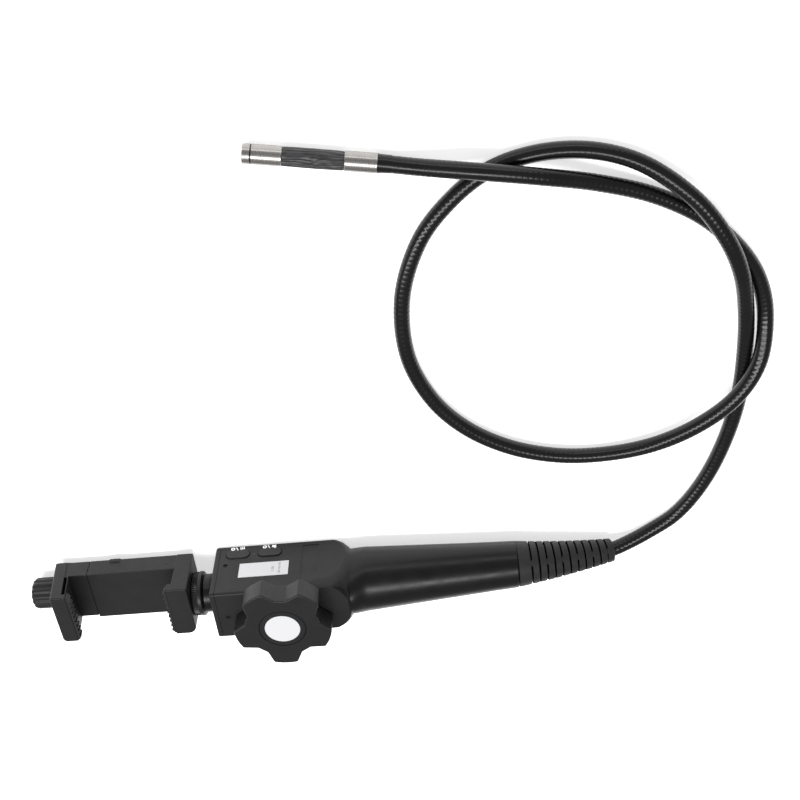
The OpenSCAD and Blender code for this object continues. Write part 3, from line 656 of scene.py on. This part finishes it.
def add_head(steel, glass, lamp, board, dark):
    """The camera head: turned barrel, seal, front ring, window, lens barrel and six lamps."""
    barrel_l = HEAD_L - RING_L
    barrel = solid(lathe([
        (0, 3.2), (0, HEAD_R - 0.2), (0.2, HEAD_R), (barrel_l - 0.65, HEAD_R),
        (barrel_l - 0.55, HEAD_R - 0.3), (barrel_l - 0.05, HEAD_R - 0.3), (barrel_l - 0.05, 3.95),
        (6, 3.95), (6, 3.2),
    ]), on_tip(BEND_L), hollow=True)
    front = solid(lathe([
        (barrel_l, 3.62), (barrel_l, HEAD_R - 0.12), (barrel_l + 0.14, HEAD_R), (barrel_l + 1.5, HEAD_R),
        (barrel_l + 1.56, HEAD_R - 0.05), (barrel_l + 1.7, HEAD_R - 0.05), (barrel_l + 1.76, HEAD_R),
        (HEAD_L - 0.4, HEAD_R), (HEAD_L - 0.1, HEAD_R - 0.12), (HEAD_L, HEAD_R - 0.4), (HEAD_L, 3.75),
        (HEAD_L - 0.15, 3.62),
    ]), on_tip(BEND_L), hollow=True)
    seal = solid(lathe([
        (barrel_l - 0.54, 4.0), (barrel_l - 0.54, HEAD_R - 0.1),
        (barrel_l - 0.06, HEAD_R - 0.1), (barrel_l - 0.06, 4.0),
    ]), on_tip(BEND_L), hollow=True)
    window = solid(lathe([(-1.1, 3.4), (-1.0, 3.56), (-0.3, 3.56), (-0.2, 3.4)], 48),
                   on_tip(BEND_L + HEAD_L))
    made = [
        dress(barrel, "head_barrel_shell", "head", steel, ["head_barrel"], 30),
        dress(seal, "head_seal_ring", "head", dark, (), 30),
        dress(front, "front_ring_shell", "head", steel, ["front_ring"], 30),
        dress(window, "front_window", "head", glass, ["lens_window"], 30),
    ]
    face = HEAD_L - 2.4
    plate = solid(lathe([(face - 1, 3.5), (face, 3.5)], 48), on_tip(BEND_L))
    made.append(dress(plate, "lamp_plate", "head", board, ["lamp_board"], 30))
    lens = solid(lathe([
        (face + 0.02, 1.6), (face + 1.0, 1.6), (face + 1.2, 1.45), (face + 1.2, 1.05),
        (face + 0.8, 0.8), (face + 0.7, 0.02), (face + 0.02, 0.02),
    ], 40), on_tip(BEND_L), hollow=True)
    made.append(dress(lens, "lens_barrel", "head", dark, (), 30))
    turns = [on_tip(BEND_L) @ Matrix.Rotation(radians(60 * i), 4, "Z") for i in range(6)]
    lamps = [block(2.15, -0.45, face + 0.02, 3.05, 0.45, face + 0.62, 0.12, turn) for turn in turns]
    made.append(dress(join(*lamps), "head_lamps", "head", lamp, (), 30))
    return made


# ---------------- the handle

BOX_W = 33
BOX_H = 39
WALL = 2
EDGE_R = 1.6
CAP_X = 36.5
GRIP_X = -38
GRIP_L = 92.5
GRIP_R0 = 18
GRIP_R1 = 12.9
GRIP_Z = 18.1
BOOT_Z = 14.25
DROOP = atan((GRIP_Z - BOOT_Z) / GRIP_L)
CORNER_STEPS = 16
FLAT = 0.15
# The box's corners start to grow at CORNER_X, and the box turns into the grip from NOSE_X on
CORNER_X = -9.0
CORNER_L = 10.5
NOSE_X = -35.5
NOSE_L = 11.5
# Each flat face ends in an arc: its radius and its centre's place along the handle
SIDE_ARC_R = 16.2
SIDE_ARC_X = -18.7
SIDE_ARC_Z = 15
TOP_ARC_R = 17.0
TOP_ARC_X = -20
SMOOTH_X = -11
NECK_X = 39.8
NECK_R = 10.75
STUD_R = 3.18
KNOB_HOLE_R = 5.05
BUTTONS = {"photo_button": (26.2, 7.8), "power_button": (8.0, 7.8)}
KEY_HOLE = (14.1, 7.1)
KEY_TOP = (13.4, 6.4)
KEY_FLANGE = (15.1, 8.1)
LIGHT = (17.1, 7.8)
LIGHT_R = 0.8
LABEL = (10.5, 21.2, 28, 11.4)
PANEL = (-15.2, 15.7, 9.6, 24)
SCREW_FRONT = (32.5, 16.5)
SCREW_TOP = (31.2, 1)
SCREW_SINK = [(-4, 1.3), (-0.25, 1.3), (0.2, 1.75)]
COVER = (-18, -12.5, 31, 12.5)
PORT = (19.7, 10, 13.8, 28.3, 20, 17.2)
MARK_T = 0.06
PRINT_PITCH = 0.62


def ease(share):
    """A smooth step from 0 to 1."""
    share = max(0.0, min(1.0, share))
    return share * share * (3 - 2 * share)


def mix(a, b, share):
    """A value that share of the way from a to b."""
    return a + (b - a) * share


def bulge(radius, offset):
    """Half the chord of a circle at an offset from its centre, or nothing outside it."""
    return sqrt(max(0.0, radius * radius - offset * offset))


def handle_section(x, margin=0.0):
    """The handle's outline at x, as (y, z) points: flat faces whose corners grow into the round grip."""
    radius = mix(GRIP_R0, GRIP_R1, (GRIP_X - x) / GRIP_L) - margin
    centre = GRIP_Z + (x - GRIP_X) * tan(DROOP)
    share = ease((NOSE_X - x) / NOSE_L)
    half_w = mix(BOX_W / 2 - margin, radius, share)
    low = mix(margin, centre - radius, share)
    high = mix(BOX_H - margin, centre + radius, share)
    middle = mix(SIDE_ARC_Z, centre, share)
    onset = ease((CORNER_X - x) / CORNER_L)
    side_half = bulge(SIDE_ARC_R, min(0.0, x - SIDE_ARC_X))
    side_top = mix(BOX_H - EDGE_R, SIDE_ARC_Z + side_half, onset)
    side_low = mix(EDGE_R, SIDE_ARC_Z - side_half, onset)
    top_half = mix(BOX_W / 2 - EDGE_R, bulge(TOP_ARC_R, min(0.0, x - TOP_ARC_X)), onset)

    def corner(room, wanted):
        """A corner as large as wanted, but no sharper than the box's edges and within its room."""
        return min(room - FLAT, max(EDGE_R - margin * 0.6, wanted + margin * 0.6))

    corner_w = corner(half_w, half_w - top_half)
    top_h = corner(high - middle, high - side_top)
    low_h = corner(middle - low, side_low - low)
    points = []
    for sy, sz, first in ((1, 1, 0), (-1, 1, 90), (-1, -1, 180), (1, -1, 270)):
        height = top_h if sz > 0 else low_h
        cy = sy * (half_w - corner_w)
        cz = high - height if sz > 0 else low + height
        for k in range(CORNER_STEPS + 1):
            a = radians(first + 90 * k / CORNER_STEPS)
            points.append(Vector((x, cy + corner_w * cos(a), cz + height * sin(a))))
    return points


def handle_stations(front, rear):
    """Where the handle's sections are taken: close together round the nose, far apart along the grip."""
    nose = [-6 - 1.25 * k for k in range(37)]
    grip = [-52 - 7.0 * k for k in range(11)]
    return [front] + nose + grip + [rear]


def add_handle(plastic, smooth_and_shade_plastic):
    """One hollow moulding: a square box that runs into the round grip, with its openings."""
    rear = GRIP_X - GRIP_L + 0.03
    outer = [handle_section(x) for x in handle_stations(CAP_X - 0.15, rear + 0.35)]
    outer.insert(0, handle_section(CAP_X, 0.18))
    outer.append(handle_section(rear, 0.3))
    shell = solid([list(reversed(r)) for r in outer], ORIGIN)
    inner = [handle_section(x, WALL) for x in handle_stations(CAP_X + 2, rear - 2)]
    cuts = [solid([list(reversed(r)) for r in inner], ORIGIN)]
    for x, z in BUTTONS.values():
        cuts.append(solid(stack(stadium(*KEY_HOLE), [(-3.5, 0), (1, 0)]), on_face(x, z)))
    cuts.append(rod(on_face(*LIGHT), LIGHT_R, -4, 1))
    for place in (on_face(*SCREW_FRONT), upright(*SCREW_TOP, BOX_H)):
        cuts.append(solid(lathe(SCREW_SINK, 32), place))
    cuts.append(face_block(PANEL, 0, -0.35, 1.5, 0.3))
    cuts.append(face_block(LABEL, 0.1, -0.15, 1.5, 0.12))
    cuts.append(rod(upright(0, 0, BOX_H), KNOB_HOLE_R, -5, 3, 48))
    x0, y0, x1, y1 = COVER
    cuts.append(block(x0, y0, -2, x1, y1, WALL + 0.6, 0.25))
    cuts.append(block(*PORT, 0.6))
    shell = cut(shell, *cuts)
    dress(shell, "handle_shell", "handle", plastic, ["handle_body"], 32)
    second_material(shell, smooth_and_shade_plastic, lambda at, normal: (
        at.x <= SMOOTH_X and max(abs(normal.y), abs(normal.z)) <= 0.9996))


def on_face(x, z):
    """A place on the surface of the button face."""
    return out_of_buttons(x, -BOX_W / 2, z)


def face_block(area, grow, low, high, radius):
    """A block over an (x, z, length, height) area of the button face, larger all round by grow."""
    x, z, length, height = area
    return block(x - length / 2 - grow, z - height / 2 - grow, low,
                 x + length / 2 + grow, z + height / 2 + grow, high, radius, on_face(0, 0))


def stadium(length, width, steps=10):
    """A slot outline with half-round ends."""
    return rectangle(-length / 2, -width / 2, length / 2, width / 2, width / 2 - 0.005, steps)


def add_end_cap(plastic, smooth_and_shade_plastic):
    """The cap on the clamp end with the neck that the swivel stud leaves through."""
    outline = rectangle(-BOX_H, -BOX_W / 2, 0, BOX_W / 2, EDGE_R, 8)
    high = corners("end_cap")[1]
    levels = [(CAP_X + 0.02, 0.2)] + soft_ends(CAP_X + 0.2, 39.5, 0, 1.1)
    cap = solid(stack(outline, levels), along_x(0, 0, 0))
    neck = solid(lathe([
        (38.5, NECK_R), (41.2, NECK_R), (41.4, NECK_R - 0.2), (41.8, NECK_R - 0.2), (42.0, NECK_R),
        (high.x - 0.4, NECK_R), (high.x, NECK_R - 0.4),
    ], 80), SWIVEL)
    lip = block(34.2, -14.4, 2.1, CAP_X + 0.4, 14.4, 36.9, 0.6)
    hollow = block(33, -12, 4.6, CAP_X - 0.2, 12, 34.4, 0.5)
    bore = rod(SWIVEL, STUD_R, 30, high.x + 2)
    cap = cut(join(cap, neck, lip), hollow, bore)
    dress(cap, "end_cap_shell", "handle", plastic, ["end_cap"], 32)
    # The neck past NECK_X takes the darker grip plastic: painted shade for the gap between the locking
    # wheel and the box.
    second_material(cap, smooth_and_shade_plastic, lambda at, normal: at.x > NECK_X)


def mark(x0, y0, x1, y1, place):
    """One printed patch."""
    return block(x0, y0, 0, x1, y1, MARK_T, 0.02, place)


def add_prints(white):
    """Plain marks beside the two buttons: a ring and a slash, then a small box or short bars."""
    for name, (x, _) in BUTTONS.items():
        place = out_of_buttons(x + 0.4, -BOX_W / 2 - 0.01, 2.9)
        ring_at = place @ upright(2.9, 0, 0)
        slash_at = place @ upright(0.55, 0, 0) @ Matrix.Rotation(0.42, 4, "Z")
        disc = solid(stack(circle(1.25, 32), [(0, 0), (MARK_T, 0)]), ring_at)
        marks = [cut(disc, rod(ring_at, 0.5, -1, 1, 24)), mark(-0.3, -1.4, 0.3, 1.4, slash_at)]
        if name == "power_button":
            marks += [mark(-3.6, -1.1, -1.2, 0.7, place), mark(-3.6, 0.5, -2.4, 1.35, place)]
        else:
            tilted = place @ Matrix.Rotation(0.12, 4, "Z")
            marks += [mark(-3.7 + 0.95 * k, -1.2, -3.2 + 0.95 * k, 1.2, tilted) for k in range(3)]
            marks.append(mark(-3.9, -0.2, -1.0, 0.2, place))
        dress(join(*marks), f"{name}_mark", "handle", white, (), 30)


def add_buttons(plastic):
    """Two slot-shaped keys with rounded tops."""
    for name, body in (("photo_button", "photo_key"), ("power_button", "power_key")):
        place = on_face(*BUTTONS[name])
        top = solid(stack(stadium(*KEY_TOP), soft_ends(-2.2, 0.6, 0, 0.5, 5)), place)
        flange = solid(stack(stadium(*KEY_FLANGE), [(-2.6, 0), (-2.1, 0)]), place)
        dress(join(top, flange), f"{name}_key", body, plastic, [name], 40)


def add_label(white, grey):
    """A blank rating label with a border and plain grey bars in place of its small print."""
    plate = face_block(LABEL, -0.1, -0.14, 0.05, 0.04)
    dress(plate, "label_plate", "handle", white, ["name_label"], 30)
    x, z, length, _ = LABEL
    bars = []
    for at, start, stop, tall in ((5.2, -4.6, 4.4, 1.2), (8.9, -1.6, 2.6, 1.5)):
        foot = x - length / 2 + at
        for k in range(int((stop - start) / PRINT_PITCH)):
            low = z + start + PRINT_PITCH * k
            if k % 5 != 4:
                bars.append(block(foot - tall / 2, low, 0.045, foot + tall / 2, low + 0.36, 0.065,
                                  0.008, on_face(0, 0)))
    dress(join(*bars), "label_bars", "handle", grey, (), 30)


# ---------------- the strain boot

BOOT_X = GRIP_X - GRIP_L
BOOT_L = 53.6
BOOT_FIRST = 6.6
BOOT_D0 = 25.8
BOOT_D1 = 13
BOOT_RINGS = 12
BOOT_TURN = radians(7.98)
BOOT_CORE_R = 5.1
RING_SOFT = 0.28
SLOT_W = 0.9
SLOT_DEPTH = 2.9
WEB_HALF_W = 1.75
WEB_ANGLE = 50


def boot_heading(s):
    """The direction of the boot's axis at s along it."""
    angle = DROOP + BOOT_TURN * s / BOOT_L
    return Vector((-cos(angle), 0, -sin(angle)))


def boot_point(s):
    """The point of the boot's axis at s along it."""
    return Vector((BOOT_X - s, 0, BOOT_Z - (DROOP * s + BOOT_TURN * s * s / (2 * BOOT_L))))


def boot_radius(s):
    """The boot's outer radius at s along it."""
    return mix(BOOT_D0, BOOT_D1, s / BOOT_L) / 2


def boot_stations():
    """Where the boot's outside turns: (place, kind, angle of the webs) from the handle to the tip."""
    pitch = (BOOT_L - BOOT_FIRST) / (BOOT_RINGS - 1)
    stations = []
    for i in range(BOOT_RINGS):
        stop = BOOT_FIRST + i * pitch
        start = stop - pitch + SLOT_W if i else 0
        turn = 90 * (i % 2)
        stations += [(start, "edge", turn - 90), (start + RING_SOFT, "land", 0),
                     (stop - RING_SOFT, "land", 0), (stop, "edge", turn)]
        if i < BOOT_RINGS - 1:
            stations += [(stop + 0.02, "core", turn), (stop + SLOT_W - 0.02, "core", turn)]
    return stations


def add_boot(rubber, painted_shade_rubber):
    """Stepped rings on a core. Each slot is crossed by two webs, a quarter turn on from the last."""
    sides = 144
    rings = []
    for s, kind, turn in boot_stations():
        side, up = across(boot_heading(s))
        full = boot_radius(s)
        web = degrees(WEB_HALF_W / full)
        loop = []
        for k in range(sides):
            a = 360 * k / sides
            off = abs((a - WEB_ANGLE - turn + 90) % 180 - 90)
            radius = full
            if kind == "edge":
                radius = full - RING_SOFT
            if kind == "core":
                radius = full - 0.3 if off < web else max(BOOT_CORE_R, full - SLOT_DEPTH)
            a = radians(a)
            loop.append(boot_point(s) + radius * (cos(a) * side - sin(a) * up))
        rings.append(loop)
    inner = []
    for k in range(14):
        s = BOOT_L * (1 - k / 13)
        side, up = across(boot_heading(s))
        inner.append([boot_point(s) + (TUBE_D / 2 + 0.1) * (cos(a) * side - sin(a) * up)
                      for a in (2 * pi * j / sides for j in range(sides))])
    boot = solid(rings + inner, ORIGIN, hollow=True)
    dress(boot, "strain_boot_skin", "handle", rubber, ["strain_boot"], 32)
    # Faces more than 0.9 mm inside the boot's outside take a near-black rubber. These are the slots'
    # floors, their deep walls and the bore, so this is painted shade in the slots.
    second_material(boot, painted_shade_rubber, lambda at, normal: (
        (at - boot_point(BOOT_X - at.x)).length < boot_radius(BOOT_X - at.x) - 0.9))


# ---------------- knobs and wheel

KNOB_R = 26.8
KNOB_TOP = 52.0
KNOB_LOW = 39.6
CAP_R = 12.6
DISC_R = 9.6
LOBES = 5
NOTCH_TURN = 50
NOTCH_FLOOR = 6.0
NOTCH_DEPTH = 6.4
KNOB_SHAFT_R = 3.02
KNOB_HUB_R = 6.0
KNOB_HOLLOW_R = 17.5
KNOB_HOLLOW_H = 7.5
SWIVEL_BORE_R = 3.24


def knob_outline(arc_steps=18):
    """Five broad lobes between trapezoid notches, with softened corners."""
    points = []
    floor_r = KNOB_R - NOTCH_DEPTH
    mouth = NOTCH_FLOOR / 2 + NOTCH_DEPTH * 1.08
    mouth_angle = asin(mouth / KNOB_R)
    step = 2 * pi / LOBES
    for i in range(LOBES):
        middle = radians(NOTCH_TURN) + step * i
        along = Vector((cos(middle), sin(middle)))
        across = Vector((-along.y, along.x))
        for s in (-1, 1):
            p = along * floor_r + across * s * NOTCH_FLOOR / 2
            points.append((p.x, p.y, 1.2))
        for k in range(arc_steps + 1):
            a = middle + mouth_angle + (step - 2 * mouth_angle) * k / arc_steps
            radius = 1.3 if k in (0, arc_steps) else 0
            points.append((KNOB_R * cos(a), KNOB_R * sin(a), radius))
    return rounded(points, 5)


def add_steering_knob(plastic, white):
    """The lobed knob, its cap and the white disc set into the cap."""
    knob = solid(stack(knob_outline(), soft_ends(KNOB_LOW, KNOB_TOP, 0.5, 0.8, 4)), ORIGIN)
    well = solid(lathe([
        (KNOB_TOP - 3, CAP_R + 0.28), (KNOB_TOP - 0.12, CAP_R + 0.28), (KNOB_TOP + 0.2, CAP_R + 0.6),
    ], 96), ORIGIN)
    bore = rod(ORIGIN, KNOB_SHAFT_R, KNOB_LOW - 1, KNOB_TOP, 40)
    roof = KNOB_LOW + KNOB_HOLLOW_H
    under = solid(lathe([
        (KNOB_LOW - 1, KNOB_HUB_R), (KNOB_LOW - 1, KNOB_HOLLOW_R),
        (roof, KNOB_HOLLOW_R), (roof, KNOB_HUB_R),
    ], 64), ORIGIN, hollow=True)
    knob = cut(knob, well, bore, under)
    dress(knob, "steering_knob_body", "steering", plastic, ["steering_knob"], 32)
    cap = solid(lathe([
        (KNOB_TOP - 2.9, 4.1), (KNOB_TOP - 2.9, CAP_R), (KNOB_TOP - 0.2, CAP_R),
        (KNOB_TOP - 0.02, CAP_R - 0.18), (KNOB_TOP - 0.02, DISC_R + 0.08),
        (KNOB_TOP - 0.06, DISC_R + 0.04), (KNOB_TOP - 0.6, DISC_R + 0.04),
        (KNOB_TOP - 0.6, 0.05), (KNOB_TOP - 1.1, 0.05), (KNOB_TOP - 1.1, 4.1),
    ], 96), ORIGIN, hollow=True)
    dress(cap, "knob_cap_ring", "steering", plastic, ["knob_cap"], 32)
    disc = solid(lathe([
        (KNOB_TOP - 0.58, DISC_R), (KNOB_TOP - 0.1, DISC_R), (KNOB_TOP, DISC_R - 0.15),
        (KNOB_TOP + 0.05, 4), (KNOB_TOP + 0.06, 0.05),
    ], 96), ORIGIN)
    dress(disc, "knob_cap_disc", "steering", white, ["knob_disc"], 32)


def toothed(radius, teeth, depth, sharpness=1.0, steps=8):
    """A round outline with soft teeth or flutes, radius at the crests."""
    points = []
    for k in range(teeth * steps):
        a = 2 * pi * k / (teeth * steps)
        r = radius - depth * (0.5 - 0.5 * cos(teeth * a)) ** sharpness
        points.append(Vector((r * cos(a), r * sin(a))))
    return points


def add_locking_wheel(plastic):
    """The knurled wheel that locks the clamp's swivel."""
    low, high = corners("locking_wheel")
    radius = (high.y - low.y) / 2
    step = mix(low.x, high.x, 0.42)
    teeth = toothed(radius - 0.3, 64, 0.45, 0.8, 6)
    band = solid(stack(teeth, soft_ends(low.x + 0.5, high.x, 0, 0.7, 3)), SWIVEL)
    flange = solid(stack(circle(radius, 96), soft_ends(low.x, step, 0.7, 0.4, 4)), SWIVEL)
    bore = rod(SWIVEL, SWIVEL_BORE_R, low.x - 1, high.x + 1, 40)
    recess = rod(SWIVEL, 9, high.x - 0.8, high.x + 1, 64)
    wheel = cut(join(band, flange), bore, recess)
    dress(wheel, "locking_wheel_knurled", "lock", plastic, ["locking_wheel"], 25)


def add_adjusting_knob(plastic):
    """The clamp's fluted knob with a plain collar and a rounded end."""
    low, high = corners("adjusting_knob")
    radius = (high.y - low.y) / 2 + 0.05
    collar = solid(lathe([
        (low.x, radius - 0.25), (low.x + 0.25, radius), (low.x + 1.5, radius),
        (low.x + 1.7, radius - 0.2),
    ], 80), SCREW)
    flutes = toothed(radius, 14, 0.55, 1.4, 10)
    grip = solid(stack(flutes, soft_ends(low.x + 1.2, high.x, 0, 2.6, 6)), SCREW)
    knob = cut(join(collar, grip), rod(SCREW, 2.5, low.x - 1, low.x + 12, 40))
    dress(knob, "adjusting_knob_fluted", "adjuster", plastic, ["adjusting_knob"], 32)


# ---------------- the phone clamp

JAW_Z = 4
JAW_TOP = 33.5
JAW_W = 33.8
JAW_ROOT = 62
JAW_HEAD = 28
JAW_INNER = 64.3
SLIDE_X = 120.3
SLIDE_T = 8.8
LEAN = tan(radians(6))
BAR_W = 33
BAR_TOP = JAW_Z + 11.5
SEAM_X = 112
PAD_Z = (28.2, 33.2)
RIBS = 9


def leaned(rings):
    """Rings slid along X so that they lean towards the fixed jaw as they rise."""
    return [[Vector((p.x + (JAW_TOP - p.z) * LEAN, p.y, p.z)) for p in r] for r in rings]


def jaw_block(x0, x1, z0, z1, near=(0.8, 0.8), far=(0.8, 0.8), lean=False):
    """A jaw drawn from above, with its corners' radii at x0 and x1 on the near and far sides."""
    half = JAW_W / 2
    outline = rounded([(x0, -half, near[0]), (x1, -half, near[1]),
                       (x1, half, far[1]), (x0, half, far[0])], 8)
    rings = stack(outline, soft_ends(z0, z1, 0.4, 0.7, 4))
    return solid(leaned(rings) if lean else rings, ORIGIN)


def leaned_block(x0, y0, z0, x1, y1, z1, radius):
    """A block that leans as the sliding jaw does."""
    return solid(leaned(stack(rectangle(x0, y0, x1, y1, radius, 3), [(z0, 0), (z1, 0)])), ORIGIN)


def add_clamp_body(plastic):
    """The fixed jaw and the bar in one moulding."""
    low = corners("clamp_body")[0]
    body = jaw_block(low.x, JAW_ROOT, JAW_Z, JAW_TOP, (1.0, 0.8), (4.5, 0.8))
    head = jaw_block(JAW_ROOT - 3, JAW_INNER, JAW_HEAD, JAW_TOP)
    bar = block(JAW_ROOT - 2, -BAR_W / 2, JAW_Z, SEAM_X, BAR_W / 2, BAR_TOP, 0.4)
    swell = rounded([(93.5, -16.3, 0.5), (95, -17.1, 0.8), (100, -17.1, 0.8), (101.5, -16.3, 0.5),
                     (101.5, -14, 0.3), (93.5, -14, 0.3)], 5)
    bump = solid(stack(swell, soft_ends(4.1, 6.6, 0.1, 0.5, 3)), ORIGIN)
    cuts = [
        rod(SWIVEL, SWIVEL_BORE_R, low.x - 1, JAW_ROOT + 1, 40),
        block(67, -14.5, 2, 110, 14.5, JAW_Z + 1.5, 0.3),
        rod(SCREW, 2.9, 66, SEAM_X + 1),
        *[rod(guide, 2.08, 66, SEAM_X + 1) for guide in GUIDES],
        rod(out_of_buttons(67, -BAR_W / 2, 11.2), 0.35, -0.8, 1, 16),
    ]
    body = cut(join(body, head, bar, bump), *cuts)
    dress(body, "clamp_body_shell", "clamp", plastic, ["clamp_body"], 32)


def add_sliding_jaw(plastic):
    """The sliding jaw with its tongue."""
    low = corners("sliding_jaw")[0]
    foot = SLIDE_X + SLIDE_T + (JAW_TOP - JAW_Z) * LEAN
    ledge = BAR_TOP + 0.8
    jaw = jaw_block(SLIDE_X, SLIDE_X + SLIDE_T + 0.05, JAW_Z, JAW_TOP, (0.8, 1.3), (0.8, 2.5), True)
    step = leaned_block(SLIDE_X - 2, -JAW_W, JAW_Z - 1, SLIDE_X + 2, -BAR_W / 2, ledge, 0.05)
    tongue = block(low.x, -BAR_W / 2, JAW_Z, SLIDE_X + 5, BAR_W / 2 - 1.3, BAR_TOP, 0.4)
    cuts = [
        leaned_block(SLIDE_X + 0.5, -JAW_W, ledge, SLIDE_X + 2.4, -6, JAW_TOP - 3, 0.2),
        rod(SCREW, 2.56, SEAM_X - 1, foot + 1),
        rod(SCREW, 4.8, SEAM_X - 1, SEAM_X + 2),
        *[rod(guide, 2.0, SEAM_X - 1, SLIDE_X + 5) for guide in GUIDES],
    ]
    jaw = cut(join(cut(jaw, step), tongue), *cuts)
    dress(jaw, "sliding_jaw_shell", "jaw", plastic, ["sliding_jaw"], 32)


def add_pads(rubber):
    """Ribbed rubber strips on the jaws' inner faces."""
    half = JAW_W / 2 - 1
    pitch = (JAW_W - 3) / RIBS
    strips = (("fixed_pad", "clamp", JAW_INNER, 1), ("moving_pad", "jaw", SLIDE_X, -1))
    for name, body, x, facing in strips:
        web, crest = x + facing * 0.9, x + facing * 2.0
        turns = [(x, half, 0.1), (x, -half, 0.1), (web, -half, 0.2)]
        for i in range(RIBS):
            y = -JAW_W / 2 + 1.5 + i * pitch
            turns += [(web, y + 0.5, 0.15), (crest, y + 1.2, 0.25),
                      (crest, y + 1.9, 0.25), (web, y + pitch - 0.4, 0.15)]
        turns.append((web, half, 0.2))
        outline = rounded(turns if facing > 0 else list(reversed(turns)), 3)
        rings = stack(outline, [(PAD_Z[0], 0), (PAD_Z[1] - 0.15, 0), (PAD_Z[1], 0.1)])
        pad = solid(rings if facing > 0 else leaned(rings), ORIGIN)
        dress(pad, f"{name}_ribbed", body, rubber, [name], 35)


# ---------------- the CAD nodes that show as they are

def finish_cad_nodes(finishes):
    """Each CAD node takes its own finish if it has one, or the material of its record slot."""
    slots = {part["node"]: part["material_slot"] for part in frame["record"]["subparts"]}
    for name, node in frame["nodes"].items():
        node.data.materials.clear()
        node.data.materials.append(finishes.get(name) or finishes[slots[name]])


add_camera()

sheath = glossy_sheath("tube_black", (0.003, 0.003, 0.0034), 0.24)
tube, tube_path = add_tube(sheath)

plastic = moulded("shell_black", (0.0092, 0.0092, 0.0098), 0.48, 0.35, 0.012, gloss=0.26)
# The darker, glossier grip plastic serves two roles. On the handle it is the grip's own finish, and on
# the end cap's neck it is painted shade.
grip_and_shade_plastic = moulded("grip_black_and_painted_shade", (0.0025, 0.0025, 0.0028), 0.33, 0.3, 0.008, gloss=0.26)
knob_plastic = moulded("knob_black", (0.0095, 0.0095, 0.0102), 0.38, 0.3, 0.010, gloss=0.28)
clamp_plastic = moulded("clamp_black", (0.0095, 0.0095, 0.0101), 0.48, 0.4, 0.018, gloss=0.26)
rubber = moulded("rubber_black", (0.012, 0.012, 0.0128), 0.55, 0.3, 0.014, 0.18, 0.06, 0.26)
# Near-black rubber for the boot's slots: painted shade, darker than the slots' own shading.
painted_shade_rubber = moulded("slot_painted_shade", (0.001, 0.001, 0.001), 0.8, 0.3, 0.014, gloss=0.05)
sleeve_rubber = pleated_rubber("sheath_black", (0.014, 0.014, 0.0155), 0.4)
tip_steel = turned_metal("tip_steel", (0.30, 0.29, 0.277), 0.28, (0, 0, radians(-TIP_TURN)),
                         depth_mm=0.0012)
steel = turned_metal("steel", (0.60, 0.60, 0.61), 0.3)
white = printed_white("label_white", (0.54, 0.54, 0.555), 0.35)
print_white = printed_white("print_white", (0.85, 0.85, 0.86), 0.4)
grey_ink = printed_white("label_grey", (0.24, 0.24, 0.25), 0.4)
lamp = printed_white("light_clear", (0.80, 0.78, 0.45), 0.25)
board = circuit_board("board_green", (0.02, 0.12, 0.05))
glass = clear_glass("window_glass", (0.92, 0.95, 0.97))
finishes = {
    "shell_black": plastic, "knob_black": knob_plastic, "clamp_black": clamp_plastic,
    "rubber_black": rubber, "tube_black": sheath, "sheath_black": sleeve_rubber,
    "steel": steel, "label_white": white,
    "brass": turned_metal("brass", (0.72, 0.52, 0.24), 0.3),
    "alloy": turned_metal("alloy", (0.62, 0.62, 0.64), 0.38),
    "board_green": board, "light_clear": lamp, "window_glass": glass,
    "status_light": moulded("smoked_lens", (0.012, 0.013, 0.012), 0.2, 0.6, 0.004),
    "end_screws": turned_metal("blackened_steel", (0.05, 0.05, 0.052), 0.4),
    "tube_anchor": turned_metal("tarnished_brass", (0.03, 0.025, 0.015), 0.6),
    "cell_foil": turned_metal("cell_foil", (0.30, 0.38, 0.52), 0.35, metallic=0.6, lines_mm=3,
                              depth_mm=0.02),
}

on_cord = add_ferrules(tip_steel, sheath)
on_cord += add_sleeve(sleeve_rubber)
on_cord += add_head(tip_steel, glass, lamp, board, sheath)
on_cord += [f"link_{k}" for k in range(1, 5)]

add_handle(plastic, grip_and_shade_plastic)
add_end_cap(plastic, grip_and_shade_plastic)
add_boot(rubber, painted_shade_rubber)
add_buttons(knob_plastic)
add_prints(print_white)
add_label(white, grey_ink)
add_steering_knob(knob_plastic, white)
add_locking_wheel(knob_plastic)
add_clamp_body(clamp_plastic)
add_sliding_jaw(clamp_plastic)
add_pads(rubber)
add_adjusting_knob(clamp_plastic)
finish_cad_nodes(finishes)
add_studio()
